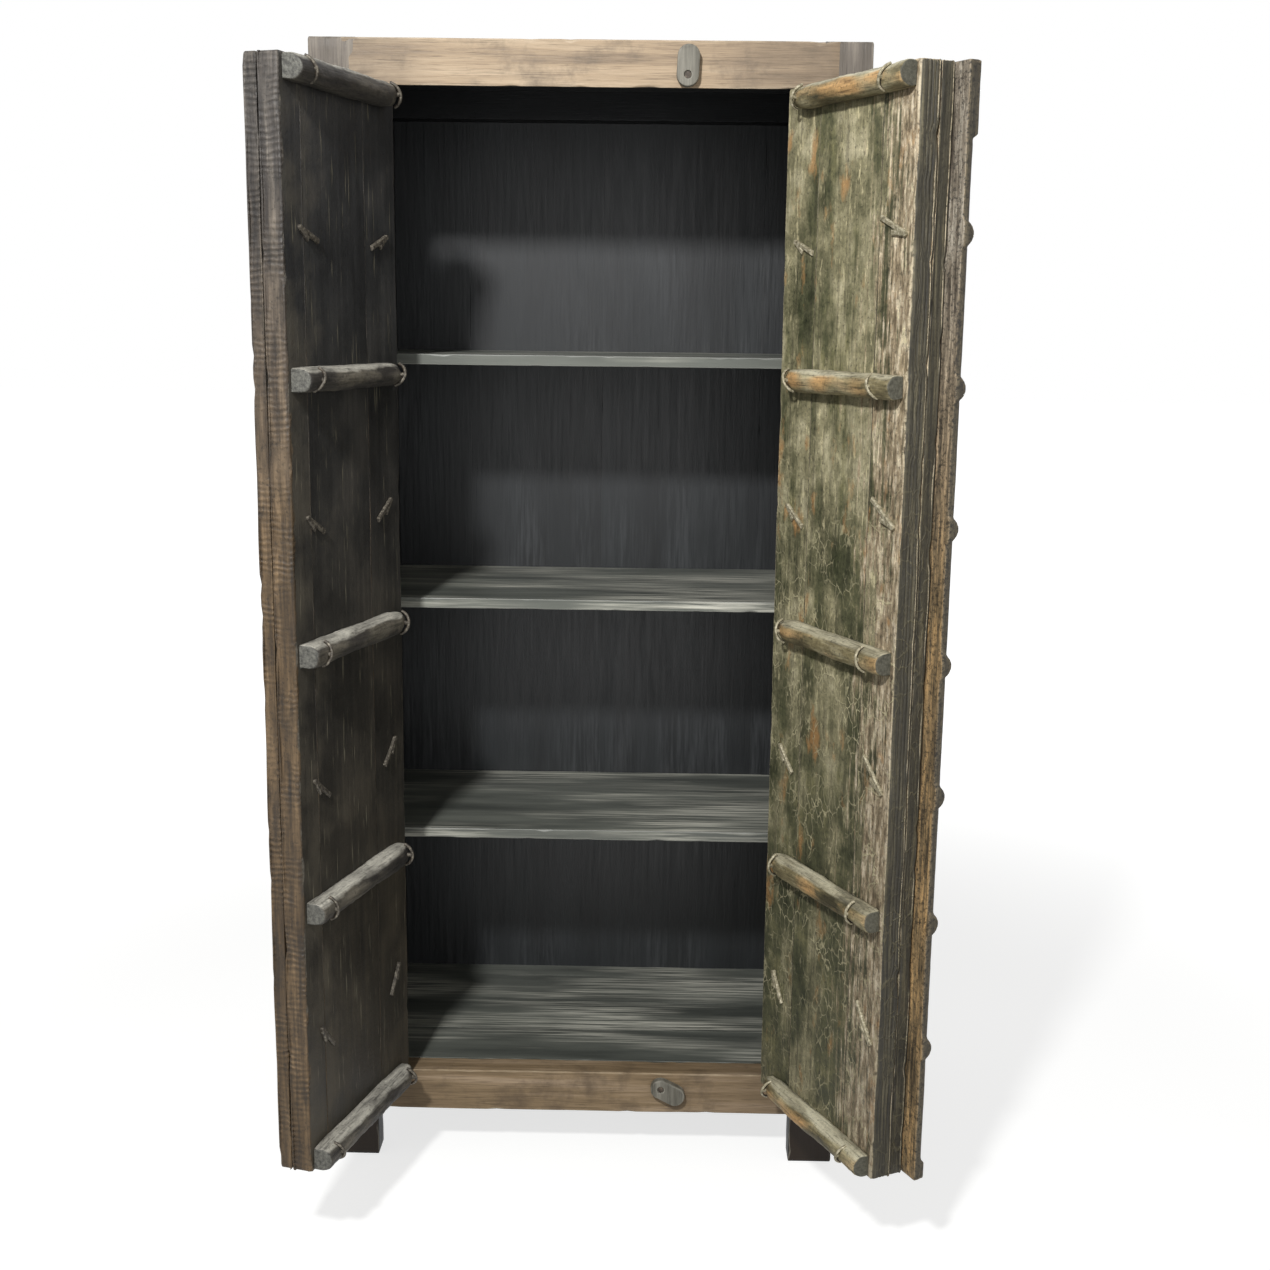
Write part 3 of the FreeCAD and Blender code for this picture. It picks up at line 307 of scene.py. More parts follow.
def smoked_planks():
    """Teak planks gone black with smoke: little contrast, faint upright runs, a few pale scratches, and a brown free
    edge, blotched darker and lighter, chipped back at its arris and crossed by the teeth marks of a saw, greyer at the
    top."""
    material, tree, shader = start_material("teak_plank_smoked")
    where = board_space(tree)
    across, height, arris = (add(tree, "Attribute", out="Fac", attribute_name=mark) for mark in DOOR_MARKS)
    patches = add(tree, "TexNoise", {"Vector": where, "Scale": per_mm(130), "Detail": 6.0, "Roughness": 0.6})
    runs = grain(tree, where, Z, across_mm=11, length_mm=240, detail=6.0, rough=0.64)
    speckle = add(tree, "TexNoise", {"Vector": where, "Scale": per_mm(6), "Detail": 4.0, "Roughness": 0.65})

    cold = add(tree, "ValToRGB", {"Fac": patches}, stops=[(0.34, "#2A2A2B"), (0.5, "#363636"), (0.68, "#4A4846")])
    warm = add(tree, "ValToRGB", {"Fac": patches}, stops=[(0.34, "#2B261D"), (0.5, "#3A3429"), (0.68, "#524A3B")])
    upper = add(tree, "ValToRGB", {"Fac": height}, stops=[(0.2, 0.0), (0.8, 1.0)])
    colour = add(tree, "Mix", {FACTOR: upper, UNDER: warm, OVER: cold}, **COLOUR)
    shade = add(tree, "ValToRGB", {"Fac": runs}, stops=[(0.34, 0.42), (0.5, 0.66), (0.68, 0.95)])
    colour = add(tree, "Mix", {FACTOR: 0.95, UNDER: colour, OVER: shade}, **SHADED)
    faded = add(tree, "Math", {0: across, 1: patches}, **TIMES)
    faded = add(tree, "MapRange", {"Value": faded, "From Min": 0.36, "From Max": 0.56, "To Max": 0.55})
    colour = add(tree, "Mix", {FACTOR: faded, UNDER: colour, OVER: linear("#5C564A")}, **COLOUR)
    scored = grain(tree, where, Z, across_mm=5, length_mm=90, detail=3.0, rough=0.6)
    scratch = add(tree, "ValToRGB", {"Fac": scored}, stops=[(0.63, 0.0), (0.72, 0.65)])
    colour = add(tree, "Mix", {FACTOR: scratch, UNDER: colour, OVER: linear("#8C8672")}, **COLOUR)
    rubbed = add(tree, "ValToRGB", {"Fac": speckle}, stops=[(0.42, 0.0), (0.58, 0.55)])
    wear = add(tree, "Math", {0: arris, 1: rubbed}, **TIMES)
    colour = add(tree, "Mix", {FACTOR: wear, UNDER: colour, OVER: linear("#7A7264")}, **COLOUR)

    lower_edge = add(tree, "ValToRGB", {"Fac": runs}, stops=[(0.34, "#312618"), (0.5, "#50402C"), (0.66, "#725E45")])
    upper_edge = add(tree, "ValToRGB", {"Fac": runs}, stops=[(0.34, "#2F2B28"), (0.5, "#4A4540"), (0.66, "#706960")])
    greyer = add(tree, "ValToRGB", {"Fac": height}, stops=[(0.6, 0.0), (0.92, 1.0)])
    edge = add(tree, "Mix", {FACTOR: greyer, UNDER: lower_edge, OVER: upper_edge}, **COLOUR)
    teeth = add(tree, "TexWave", {"Vector": where, "Scale": WAVE_REPEAT * per_mm(9.5), "Distortion": 5.0, "Detail": 3.0,
                                  "Detail Scale": 0.8}, "Fac", bands_direction="Z")
    stretch = add(tree, "TexNoise", {"Vector": where, "Scale": per_mm(70), "Detail": 4.0, "Roughness": 0.6})
    sawn = add(tree, "ValToRGB", {"Fac": stretch}, stops=[(0.44, 0.0), (0.62, 0.8)])
    tooth = add(tree, "ValToRGB", {"Fac": teeth}, stops=[(0.1, 0.6), (0.55, 1.0), (0.9, 1.3)])
    edge = add(tree, "Mix", {FACTOR: sawn, UNDER: edge, OVER: tooth}, **SHADED)
    pits = add(tree, "ValToRGB", {"Fac": speckle}, stops=[(0.32, 0.35), (0.45, 1.0), (0.62, 1.0), (0.74, 1.5)])
    edge = add(tree, "Mix", {FACTOR: 0.85, UNDER: edge, OVER: pits}, **SHADED)
    # The free edge is blotched darker and lighter in patches.
    handled = grain(tree, where, Z, across_mm=24, length_mm=75, detail=5.0, rough=0.66)
    blotched = add(tree, "ValToRGB", {"Fac": handled}, stops=[(0.36, 0.42), (0.5, 1.0), (0.64, 1.35)])
    edge = add(tree, "Mix", {FACTOR: 0.9, UNDER: edge, OVER: blotched}, **SHADED)
    chipped = add(tree, "Math", {0: handled, 1: 0.1, 2: across}, **TIMES_PLUS)
    chipped = add(tree, "MapRange", {"Value": chipped, "From Min": 1.025, "From Max": 1.031})
    on_edge = add(tree, "Math", {0: face_share(tree, X, 1.0), 1: chipped}, operation="MAXIMUM")
    colour = add(tree, "Mix", {FACTOR: on_edge, UNDER: colour, OVER: edge}, **COLOUR)

    relief = add(tree, "Math", {0: runs, 1: 0.5, 2: patches}, **TIMES_PLUS)
    ridges = add(tree, "Math", {0: teeth, 1: on_edge}, **TIMES)
    ridges = add(tree, "Math", {0: ridges, 1: sawn}, **TIMES)
    relief = add(tree, "Math", {0: ridges, 1: 0.9, 2: relief}, **TIMES_PLUS)
    relief = add(tree, "Math", {0: speckle, 1: 0.3, 2: relief}, **TIMES_PLUS)
    finish_surface(tree, shader, colour, (patches, 0.5, 0.72), relief, depth_mm=2.0)
    return material


def whittled_batten(name, free_side, tones, crown, crown_share, top_highlight, end):
    """A batten whittled from a branch: dark in the cuts, its crown rubbed to bare wood, its upper side pale with a
    painted highlight, and its sawn end grey."""
    material, tree, shader = start_material(name)
    where = board_space(tree)
    arris = add(tree, "Attribute", out="Fac", attribute_name="arris")
    patches = grain(tree, where, X, across_mm=40, length_mm=140, detail=6.0, rough=0.66)
    cuts = grain(tree, where, X, across_mm=4.5, length_mm=75, detail=5.0, rough=0.66)
    speckle = add(tree, "TexNoise", {"Vector": where, "Scale": per_mm(5), "Detail": 4.0, "Roughness": 0.65})
    colour = add(tree, "ValToRGB", {"Fac": patches}, stops=[(0.34, tones[0]), (0.5, tones[1]), (0.66, tones[2])])
    worn = add(tree, "Math", {0: arris, 1: patches}, **TIMES)
    worn = add(tree, "MapRange", {"Value": worn, "From Min": 0.26, "From Max": 0.4, "To Max": crown_share})
    colour = add(tree, "Mix", {FACTOR: worn, UNDER: colour, OVER: linear(crown)}, **COLOUR)
    # Painted highlight: faces that look up are lightened in patches as if lit from above.
    highlight_patches = add(tree, "ValToRGB", {"Fac": patches}, stops=[(0.36, 0.2), (0.6, 0.9)])
    upper = add(tree, "Math", {0: face_share(tree, Z, 1.0), 1: highlight_patches}, **TIMES)
    colour = add(tree, "Mix", {FACTOR: upper, UNDER: colour, OVER: linear(top_highlight)}, **COLOUR)
    shade = add(tree, "ValToRGB", {"Fac": cuts}, stops=[(0.32, 0.3), (0.47, 1.0), (0.7, 1.35)])
    colour = add(tree, "Mix", {FACTOR: 0.85, UNDER: colour, OVER: shade}, **SHADED)
    pits = add(tree, "ValToRGB", {"Fac": speckle}, stops=[(0.34, 0.4), (0.46, 1.0), (0.62, 1.0), (0.74, 1.5)])
    colour = add(tree, "Mix", {FACTOR: 0.8, UNDER: colour, OVER: pits}, **SHADED)
    sawn = add(tree, "ValToRGB", {"Fac": speckle}, stops=[(0.35, end[0]), (0.65, end[1])])
    colour = add(tree, "Mix", {FACTOR: face_share(tree, X, free_side), UNDER: colour, OVER: sawn}, **COLOUR)
    relief = add(tree, "Math", {0: cuts, 1: 0.9, 2: patches}, **TIMES_PLUS)
    relief = add(tree, "Math", {0: speckle, 1: 0.3, 2: relief}, **TIMES_PLUS)
    finish_surface(tree, shader, colour, (cuts, 0.75, 0.52), relief, depth_mm=2.0)
    return material


def cover_strip_wood():
    """The teak cover strip: its back beige above and orange-brown below with dark flecks, its front and edge dark."""
    material, tree, shader = start_material("teak_cover_strip")
    where = board_space(tree)
    height, arris = (add(tree, "Attribute", out="Fac", attribute_name=mark) for mark in DOOR_MARKS[1:])
    runs = grain(tree, where, Z, across_mm=9, length_mm=130, detail=7.0, rough=0.74)
    speckle = add(tree, "TexNoise", {"Vector": where, "Scale": per_mm(5), "Detail": 5.0, "Roughness": 0.72})
    upper = add(tree, "ValToRGB", {"Fac": runs}, stops=[(0.38, "#453D32"), (0.5, "#7F7566"), (0.62, "#BDB4A3")])
    lower = add(tree, "ValToRGB", {"Fac": runs}, stops=[(0.38, "#382E1E"), (0.5, "#7B684A"), (0.62, "#C29E6C")])
    share = add(tree, "ValToRGB", {"Fac": height}, stops=[(0.55, 0.0), (0.85, 1.0)])
    colour = add(tree, "Mix", {FACTOR: share, UNDER: lower, OVER: upper}, **COLOUR)
    dark = add(tree, "ValToRGB", {"Fac": runs}, stops=[(0.34, "#2B271E"), (0.5, "#453F32"), (0.68, "#6E6654")])
    back = face_share(tree, Y, 1.0, start=0.5)
    colour = add(tree, "Mix", {FACTOR: back, UNDER: dark, OVER: colour}, **COLOUR)
    flecks = add(tree, "ValToRGB", {"Fac": speckle}, stops=[(0.38, 0.18), (0.5, 1.0), (0.6, 1.0), (0.7, 1.7)])
    colour = add(tree, "Mix", {FACTOR: 0.95, UNDER: colour, OVER: flecks}, **SHADED)
    rubbed = add(tree, "ValToRGB", {"Fac": speckle}, stops=[(0.42, 0.0), (0.6, 0.6)])
    wear = add(tree, "Math", {0: arris, 1: rubbed}, **TIMES)
    colour = add(tree, "Mix", {FACTOR: wear, UNDER: colour, OVER: linear("#AD9A7C")}, **COLOUR)
    relief = add(tree, "Math", {0: speckle, 1: 0.5, 2: runs}, **TIMES_PLUS)
    finish_surface(tree, shader, colour, (runs, 0.58, 0.78), relief, depth_mm=2.0)
    return material


RUSTED_TONES = ("#26211C", "#463D34", "#75695A")


def wrought_iron(name, tones, body="case"):
    """Wrought iron, hammered and rusted: dull, with paler rubbed crowns. On a door it took the colour of the inner
    face, and is dark on the front."""
    material, tree, shader = start_material(name)
    own = add(tree, "TexCoord", out="Object")
    hammer = add(tree, "TexNoise", {"Vector": own, "Scale": per_mm(9), "Detail": 3.0})
    rust = add(tree, "TexNoise", {"Vector": own, "Scale": per_mm(5), "Detail": 5.0, "Roughness": 0.7})
    colour = add(tree, "ValToRGB", {"Fac": rust}, stops=[(0.32, tones[0]), (0.5, tones[1]), (0.68, tones[2])])
    bare = add(tree, "ValToRGB", {"Fac": rust}, stops=list(zip((0.32, 0.5, 0.68), RUSTED_TONES)))
    outward = PLACE[body].to_3x3() @ Vector((0.0, -1.0, 0.0))
    facing = add(tree, "VectorMath", {0: add(tree, "TexCoord", out="Normal"), 1: outward}, "Value",
                 operation="DOT_PRODUCT")
    front = add(tree, "MapRange", {"Value": facing, "From Min": 0.05, "From Max": 0.2})
    colour = add(tree, "Mix", {FACTOR: front, UNDER: colour, OVER: bare}, **COLOUR)
    finish_surface(tree, shader, colour, (hammer, 0.4, 0.75), hammer, depth_mm=1.0, spread=(0.0, 1.0))
    shader.inputs["Metallic"].default_value = 0.3
    return material


DARK_TONES = ("#2E261E", "#463A2F", "#665745")

MATERIAL = {
    "top_rail": stained_timber("sheesham_rail_waxed", X, ("#86745F", "#AE987D", "#C6B196"), blotch="#655A4E",
                               worn="#CDBCA3", rough=0.5, ends=1.3),
    # The bottom rail has the rail wood in darker tones than the top rail.
    "bottom_rail": stained_timber("sheesham_rail_darker", X, ("#66553F", "#8A765B", "#A8937A"), blotch="#54473A",
                                  worn="#B8A68A", rough=0.55, ends=0.8),
    "post": stained_timber("sheesham_post_waxed", Z, ("#5A534A", "#736B62", "#9A9184"), blotch="#4A443D",
                           worn="#BDB6A8", rough=0.5, foot="#22180E"),
    "side": stained_timber("case_board_dark_stain", Z, DARK_TONES, blotch="#1F1B18", worn="#85765F", rough=0.55),
    "lying": stained_timber("case_board_dark_stain_across", X, DARK_TONES, blotch="#1F1B18", worn="#85765F",
                            rough=0.55),
    "side_rail": stained_timber("case_rail_dark_stain", Y, DARK_TONES, blotch="#2B2622", worn="#9A8A70", rough=0.52),
    # The share of pale arris line given to each of these boards is partly wear and partly a painted highlight.
    "back": ebonised_boards("softwood_ebonised_upright", Z, ("#17191B", "#232628"), dry="#595B5D", dry_share=0.35,
                            streak_mm=(7, 120), edge_wear_and_highlight=0.08),
    "shelf": ebonised_boards("softwood_ebonised_shelf", X, ("#484B46", "#71746C"), dry="#E2E0D1", dry_share=0.95,
                             streak_mm=(6, 200), edge_wear_and_highlight=0.7),
    "cleat": ebonised_boards("softwood_ebonised_cleat", Y, ("#232527", "#34373A"), dry="#77786F", dry_share=0.3,
                             streak_mm=(7, 120), edge_wear_and_highlight=0.3),
    "left_door": smoked_planks(),
    "right_door": olive_planks(),
    # The pale upper-side colours given to the battens are painted highlights.
    "left_batten": whittled_batten("teak_batten_smoked", 1.0, ("#25221F", "#3D3934", "#625D52"), crown="#6E685C",
                                   crown_share=0.8, top_highlight="#C9C5B8", end=("#454440", "#74736B")),
    "right_batten": whittled_batten("teak_batten_olive", -1.0, ("#3A3522", "#7C7253", "#BDB492"), crown="#C79C66",
                                    crown_share=0.85, top_highlight="#C9C3AA", end=("#3E3C31", "#626053")),
    "cover": cover_strip_wood(),
    "button": stained_timber("turn_button_hardwood", Z, ("#565349", "#757268", "#938F84"), blotch="#3F3C36",
                             worn="#C6C2B4", rough=0.55),
    "left_iron": wrought_iron("wrought_iron_smoked", ("#2B2824", "#565047", "#938C7E"), "left_door"),
    "right_iron": wrought_iron("wrought_iron_olive", ("#5F5844", "#A0987E", "#D2CAB2"), "right_door"),
    "iron": wrought_iron("wrought_iron_rusted", RUSTED_TONES),
}


# Worn boards


SEED_SHIFT = (13.7, 7.3, 3.1)


def wave(point, size_mm, seed):
    """Smooth noise from -1 to 1, with waves about this long."""
    return noise.noise(Vector(point) / (size_mm * MM) + Vector([seed * shift for shift in SEED_SHIFT]))


HOLLOW_MIDDLE, HOLLOW_SWING = 0.5, 0.34
# Long waves mm, short waves mm, share of the short ones
BOARD_WAVES = (210, 47, 0.16)
CARVED_WAVES = (70, 17, 0.2)


def dip(point, hollow_mm, long_mm, short_mm, short_share, seed):
    """How far a face lies below flat: long waves with shorter ones on them."""
    waves = HOLLOW_MIDDLE + HOLLOW_SWING * wave(point, long_mm, seed) + short_share * wave(point, short_mm, seed + 2)
    return max(0.0, hollow_mm * MM * waves)


def new_stock():
    """Points and faces of a piece while it is being made."""
    return {"points": [], "faces": [], "arris": [], "tone": [], "caps": set()}


END_ROUNDING = ((0.0, 0.7), (0.3, 0.22))  # how far in, and how much of the easing is left there


def stations(length, step, ease):
    """Places along a board with closer ones at its ends, each with how far the end is eased there."""
    count = max(2, round((length - 2 * ease) / step))
    inner = [ease + k * (length - 2 * ease) / count for k in range(count + 1)]
    start = [(share * ease, left) for share, left in END_ROUNDING]
    end = [(length - share * ease, left) for share, left in reversed(END_ROUNDING)]
    return start + [(place, 0.0) for place in inner] + end


def join_rings(stock, first, rings, size):
    """Faces between rings of points, and a face over each end."""
    for k in range(rings - 1):
        for i in range(size):
            j = (i + 1) % size
            a, b = first + k * size, first + (k + 1) * size
            stock["faces"].append((a + i, a + j, b + j, b + i))
    last = first + (rings - 1) * size
    for cap in (tuple(first + i for i in reversed(range(size))), tuple(last + i for i in range(size))):
        stock["caps"].add(len(stock["faces"]))
        stock["faces"].append(cap)


ARC_STEPS = 3
ARC_END_RUB = 0.75
FLAT = 0.99
CORNERS = ((1, -1), (1, 1), (-1, 1), (-1, -1))
FACE_STEP = 20 * MM
LINE_STEP = 1.0 * MM
ARRIS_BORDER = 1.0 * MM
TIGHT_ARRIS = 1.2 * MM
END_EASE = 4 * MM
BOARD_STEP = 16 * MM
HEWN_DEPTH = 6 * MM
HEWN_LENGTH_MM = 75
ROUNDING_LIMIT = 0.65
BOARD_TONE_MM, BATTEN_TONE_MM = 97.0, 83.0
END_RUB = 1.6
CORNER_APART, SEED_APART = 0.37, 0.11
CHIP_LENGTH_MM, CHIP_START, CHIP_GROWTH = 24, 0.22, 2.6
WANDER_LENGTH_MM, WANDER_MIDDLE, WANDER_SWING, WANDER_LEAST = 130, 0.62, 0.42, 0.35


def corner_radius(along, corner, arris, limit, seed):
    """The rounding of one corner at one place: it wanders along the board and is chipped here and there."""
    here = (along, corner * CORNER_APART, seed * SEED_APART)
    chip = max(0.0, wave(here, CHIP_LENGTH_MM, seed + corner) - CHIP_START) * CHIP_GROWTH
    uneven = WANDER_MIDDLE + WANDER_SWING * wave(here, WANDER_LENGTH_MM, seed + 5 + corner) + chip
    return min(limit, arris * max(WANDER_LEAST, uneven))


def fill_side(ring, target, count):
    """Points along a flat side, from the ring's last point to the target, with one close to each end."""
    pa, pb, _, _, end_ease = ring[-1]
    close = min(0.2 / count, ARRIS_BORDER / math.hypot(target[0] - pa, target[1] - pb))
    for t in [close] + [k / count for k in range(1, count)] + [1 - close]:
        ring.append((pa + (target[0] - pa) * t, pb + (target[1] - pb) * t, target[2], 0.0, min(end_ease, target[4])))


def line_depth(offset, lines):
    """How deep the scored lines are at an offset across a face. lines is (places, radius)."""
    places, radius = lines
    nearest = min(abs(offset - place) for place in places)
    return math.sqrt(max(0.0, radius**2 - nearest**2))


def add_board(stock, low, high, grain_axis, arrises_mm, hollow_mm, seed, lines=None, hewn_side=0):
    """A worn board in the box low..high, with its grain along one axis. arrises_mm rounds the corners in the order of
    CORNERS, lines scores the face that looks down the first axis across the grain, and hewn_side says which way along
    that axis an edge was left roughly hewn."""
    a, b = (grain_axis + 1) % 3, (grain_axis + 2) % 3
    middle = [(low[k] + high[k]) / 2 for k in range(3)]
    half = {a: (high[a] - low[a]) / 2, b: (high[b] - low[b]) / 2}
    limit = ROUNDING_LIMIT * min(half.values())
    counts = [max(1, round(2 * half[b] / FACE_STEP)), max(1, round(2 * half[a] / FACE_STEP))] * 2
    if lines:
        counts[2] = round(2 * half[b] / LINE_STEP)
    first = len(stock["points"])
    tone = 0.5 + 0.5 * wave(middle, BOARD_TONE_MM, seed)
    rows = stations(high[grain_axis] - low[grain_axis], BOARD_STEP, END_EASE)
    for along, ease in rows:
        ring = []
        for corner, (sa, sb) in enumerate(CORNERS):
            arris = min(arrises_mm[corner] * MM, limit)
            radius = corner_radius(along, corner, arris, limit, seed)
            centre = (sa * (half[a] - radius), sb * (half[b] - radius))
            arc = []
            for k in range(ARC_STEPS + 1):
                angle = (corner - 1 + k / ARC_STEPS) * math.pi / 2
                out = (math.cos(angle), math.sin(angle))
                rubbed = (1.0 if 0 < k < ARC_STEPS else ARC_END_RUB) * min(1.0, arris / TIGHT_ARRIS)
                place = (centre[0] + radius * out[0], centre[1] + radius * out[1])
                arc.append((*place, out, rubbed, min(arris, END_EASE)))
            if ring:
                fill_side(ring, arc[0], counts[corner - 1])
            ring += arc
        fill_side(ring, ring[0], counts[3])
        for pa, pb, out, rubbed, end_ease in ring:
            point = [0.0, 0.0, 0.0]
            point[grain_axis] = low[grain_axis] + along
            point[a], point[b] = middle[a] + pa, middle[b] + pb
            inset = dip(point, hollow_mm, *BOARD_WAVES, seed) + ease * end_ease
            rough = 0.5 + 0.5 * wave((along, 0.4 * pb, 0.0), HEWN_LENGTH_MM, seed + 6)
            inset += HEWN_DEPTH * rough * max(0.0, out[0] * hewn_side)
            if lines and out[0] < -FLAT:
                inset += line_depth(point[b], lines)
            point[a] -= out[0] * inset
            point[b] -= out[1] * inset
            stock["points"].append(point)
            stock["arris"].append(max(rubbed, min(1.0, ease * END_RUB)))
            stock["tone"].append(tone)
    join_rings(stock, first, len(rows), len(ring))


BATTEN_ARC = 16
BATTEN_STEP = 7 * MM
WHITTLED_LENGTH = 46 * MM
WHITTLED_REACH, WHITTLED_RISE = 0.6, 0.74
FLANK_WEAR = ((0.0, 0.1), (0.5, 0.15), (1.0, 0.25))  # how far up the straight flank, and the wear there
SHOULDER_WEAR = 0.35
CUT_DEPTH, CUT_LENGTH_MM, CUT_STRETCH = 1.8 * MM, 30, (0.45, 1.6, 1.6)
NICK_DEPTH, NICK_LENGTH_MM = 0.9 * MM, 12
SAWN_END_EASE = 3 * MM
CROWN_LENGTH_MM = 60


def add_batten(stock, low, high, hinge_end, seed):
    """A half-round batten in its box, whittled thin at the hinge end and cut square at the other."""
    half = (high[Z] - low[Z]) / 2
    straight = max(0.0, high[Y] - low[Y] - half)
    level = (high[Z] + low[Z]) / 2
    profile = [(straight * share, -half, wear) for share, wear in FLANK_WEAR]
    for k in range(1, BATTEN_ARC):
        angle = -math.pi / 2 + k * math.pi / BATTEN_ARC
        wear = SHOULDER_WEAR + (1 - SHOULDER_WEAR) * math.cos(angle)
        profile.append((straight + half * math.cos(angle), half * math.sin(angle), wear))
    profile += [(straight * share, half, wear) for share, wear in reversed(FLANK_WEAR)] + [(0.0, 0.0, 0.0)]
    length = high[X] - low[X]
    rows = stations(length, BATTEN_STEP, END_EASE)
    first = len(stock["points"])
    tone = 0.5 + 0.5 * wave((low[X], level, 0), BATTEN_TONE_MM, seed)
    for along, ease in rows:
        x = low[X] + along
        from_hinge = along if hinge_end < 0 else length - along
        whittled = math.sin(min(1.0, from_hinge / WHITTLED_LENGTH) * math.pi / 2)
        for depth, rise, crown in profile:
            point = (x, low[Y] + depth, level + rise)
            here = [place * share for place, share in zip((x, depth, rise), CUT_STRETCH)]
            cut = CUT_DEPTH * (1 + wave(here, CUT_LENGTH_MM, seed))
            worn = cut + NICK_DEPTH * wave(point, NICK_LENGTH_MM, seed + 3) + SAWN_END_EASE * ease
            shrink = 1.0 - max(0.0, worn) / half
            reach = depth * shrink * (WHITTLED_REACH + (1 - WHITTLED_REACH) * whittled)
            lift = rise * shrink * (WHITTLED_RISE + (1 - WHITTLED_RISE) * whittled)
            stock["points"].append((x, low[Y] + reach, level + lift))
            stock["arris"].append(max(crown * (0.6 + 0.4 * wave(point, CROWN_LENGTH_MM, seed + 9)), ease))
            stock["tone"].append(tone)
    join_rings(stock, first, len(rows), len(profile))


def own_points(node, body):
    """A CAD node's points with its door shut."""
    back = PLACE[body].inverted()
    return [back @ v.co for v in frame["nodes"][node].data.vertices]


def box_of(points):
    low = [min(p[k] for p in points) for k in range(3)]
    high = [max(p[k] for p in points) for k in range(3)]
    return low, high


def door_span(side):
    """Where a shut door runs from hinge edge to free edge, and from bottom to top."""
    body = f"{side}_door"
    low, high = box_of(own_points(f"{side}_door_hinge_plank", body) + own_points(f"{side}_door_meeting_plank", body))
    ends = (low[X], high[X]) if side == "left" else (high[X], low[X])
    return {"x": ends, "z": (low[Z], high[Z])}


def case_span():
    low, high = box_of(own_points("left_front_post", "case") + own_points("right_rear_post", "case"))
    return {"x": (low[X], high[X]), "z": (low[Z], high[Z]), "middle": (Vector(low) + Vector(high)) / 2}


CASE_SPAN = case_span()
SPAN = {"left_door": door_span("left"), "right_door": door_span("right")}


LYING_NORMAL = 0.6


def looks_inside(vertex):
    """1 where a face of the case looks down or towards the middle of the case."""
    normal, inward = vertex.normal, CASE_SPAN["middle"] - vertex.co
    # A face that looks down is marked too, so that its black is painted shade under the piece.
    if abs(normal.z) > LYING_NORMAL:
        return float(normal.z < 0)
    return float(normal.x * inward.x + normal.y * inward.y > 0)


def make_piece(name, stock, material, body, nodes):
    """Turns points and faces into an object that rides on a body and stands for its CAD nodes."""
    mesh = bpy.data.meshes.new(name)
    mesh.from_pydata(stock["points"], [], stock["faces"])
    mesh.polygons.foreach_set("use_smooth", [k not in stock["caps"] for k in range(len(stock["faces"]))])
    span = SPAN.get(body, CASE_SPAN)
    start, end = span["x"]
    bottom, top = span["z"]
    marks = {"arris": stock["arris"], "tone": stock["tone"]}
    marks["across"] = [(p[X] - start) / (end - start) for p in stock["points"]]
    marks["height"] = [(p[Z] - bottom) / (top - bottom) for p in stock["points"]]
    if body == "case":
        marks["inside"] = [looks_inside(v) for v in mesh.vertices]
    for mark, values in marks.items():
        mesh.attributes.new(mark, "FLOAT", "POINT").data.foreach_set("value", values)
    mesh.materials.append(material)
    piece = bpy.data.objects.new(name, mesh)
    bpy.context.collection.objects.link(piece)
    piece.matrix_world = PLACE[body]
    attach(piece, body)
    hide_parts(*nodes)


SAME_POINT = 0.02 * MM


def solids(node, body):
    """The boxes of a node's separate solids, with its door shut."""
    points = own_points(node, body)
    keys = [tuple(round(c / SAME_POINT) for c in p) for p in points]
    leader = {key: key for key in keys}

    def root(key):
        while leader[key] != key:
            leader[key] = leader[leader[key]]
            key = leader[key]
        return key

    for face in frame["nodes"][node].data.polygons:
        corners = [root(keys[i]) for i in face.vertices]
        for corner in corners[1:]:
            leader[root(corner)] = root(corners[0])
    groups = {}
    for key, point in zip(keys, points):
        groups.setdefault(root(key), []).append(point)
    return sorted((box_of(group) for group in groups.values()), key=lambda box: (box[0][Z], box[0][Y], box[0][X]))


SEAM_FILL = 0.35 * MM
CASE_SEAM_FILL = 0.8 * MM
BOARD_SEED_STEP = 0.61


def worn_boards(node, body, material, grain_axis, arrises_mm, hollow_mm, seed, seam=None, lines=None, hewn_side=0):
    """Every solid of a node as a worn board. Boards side by side along the seam axis are drawn up to touch, and in the
    case so tightly that no daylight shows between them."""
    if not isinstance(arrises_mm, tuple):
        arrises_mm = (arrises_mm,) * 4
    fill = CASE_SEAM_FILL if body == "case" else SEAM_FILL
    stock = new_stock()
    for k, (low, high) in enumerate(solids(node, body)):
        if seam is not None:
            low[seam] -= fill
            high[seam] += fill
        add_board(stock, low, high, grain_axis, arrises_mm, hollow_mm, seed + BOARD_SEED_STEP * k, lines, hewn_side)
    make_piece("worn_" + node, stock, MATERIAL[material], body, [node])


SOFTEN_ROUNDS, SOFTEN_SHARE = 2, 0.4
EDGE_RUB = 9.0


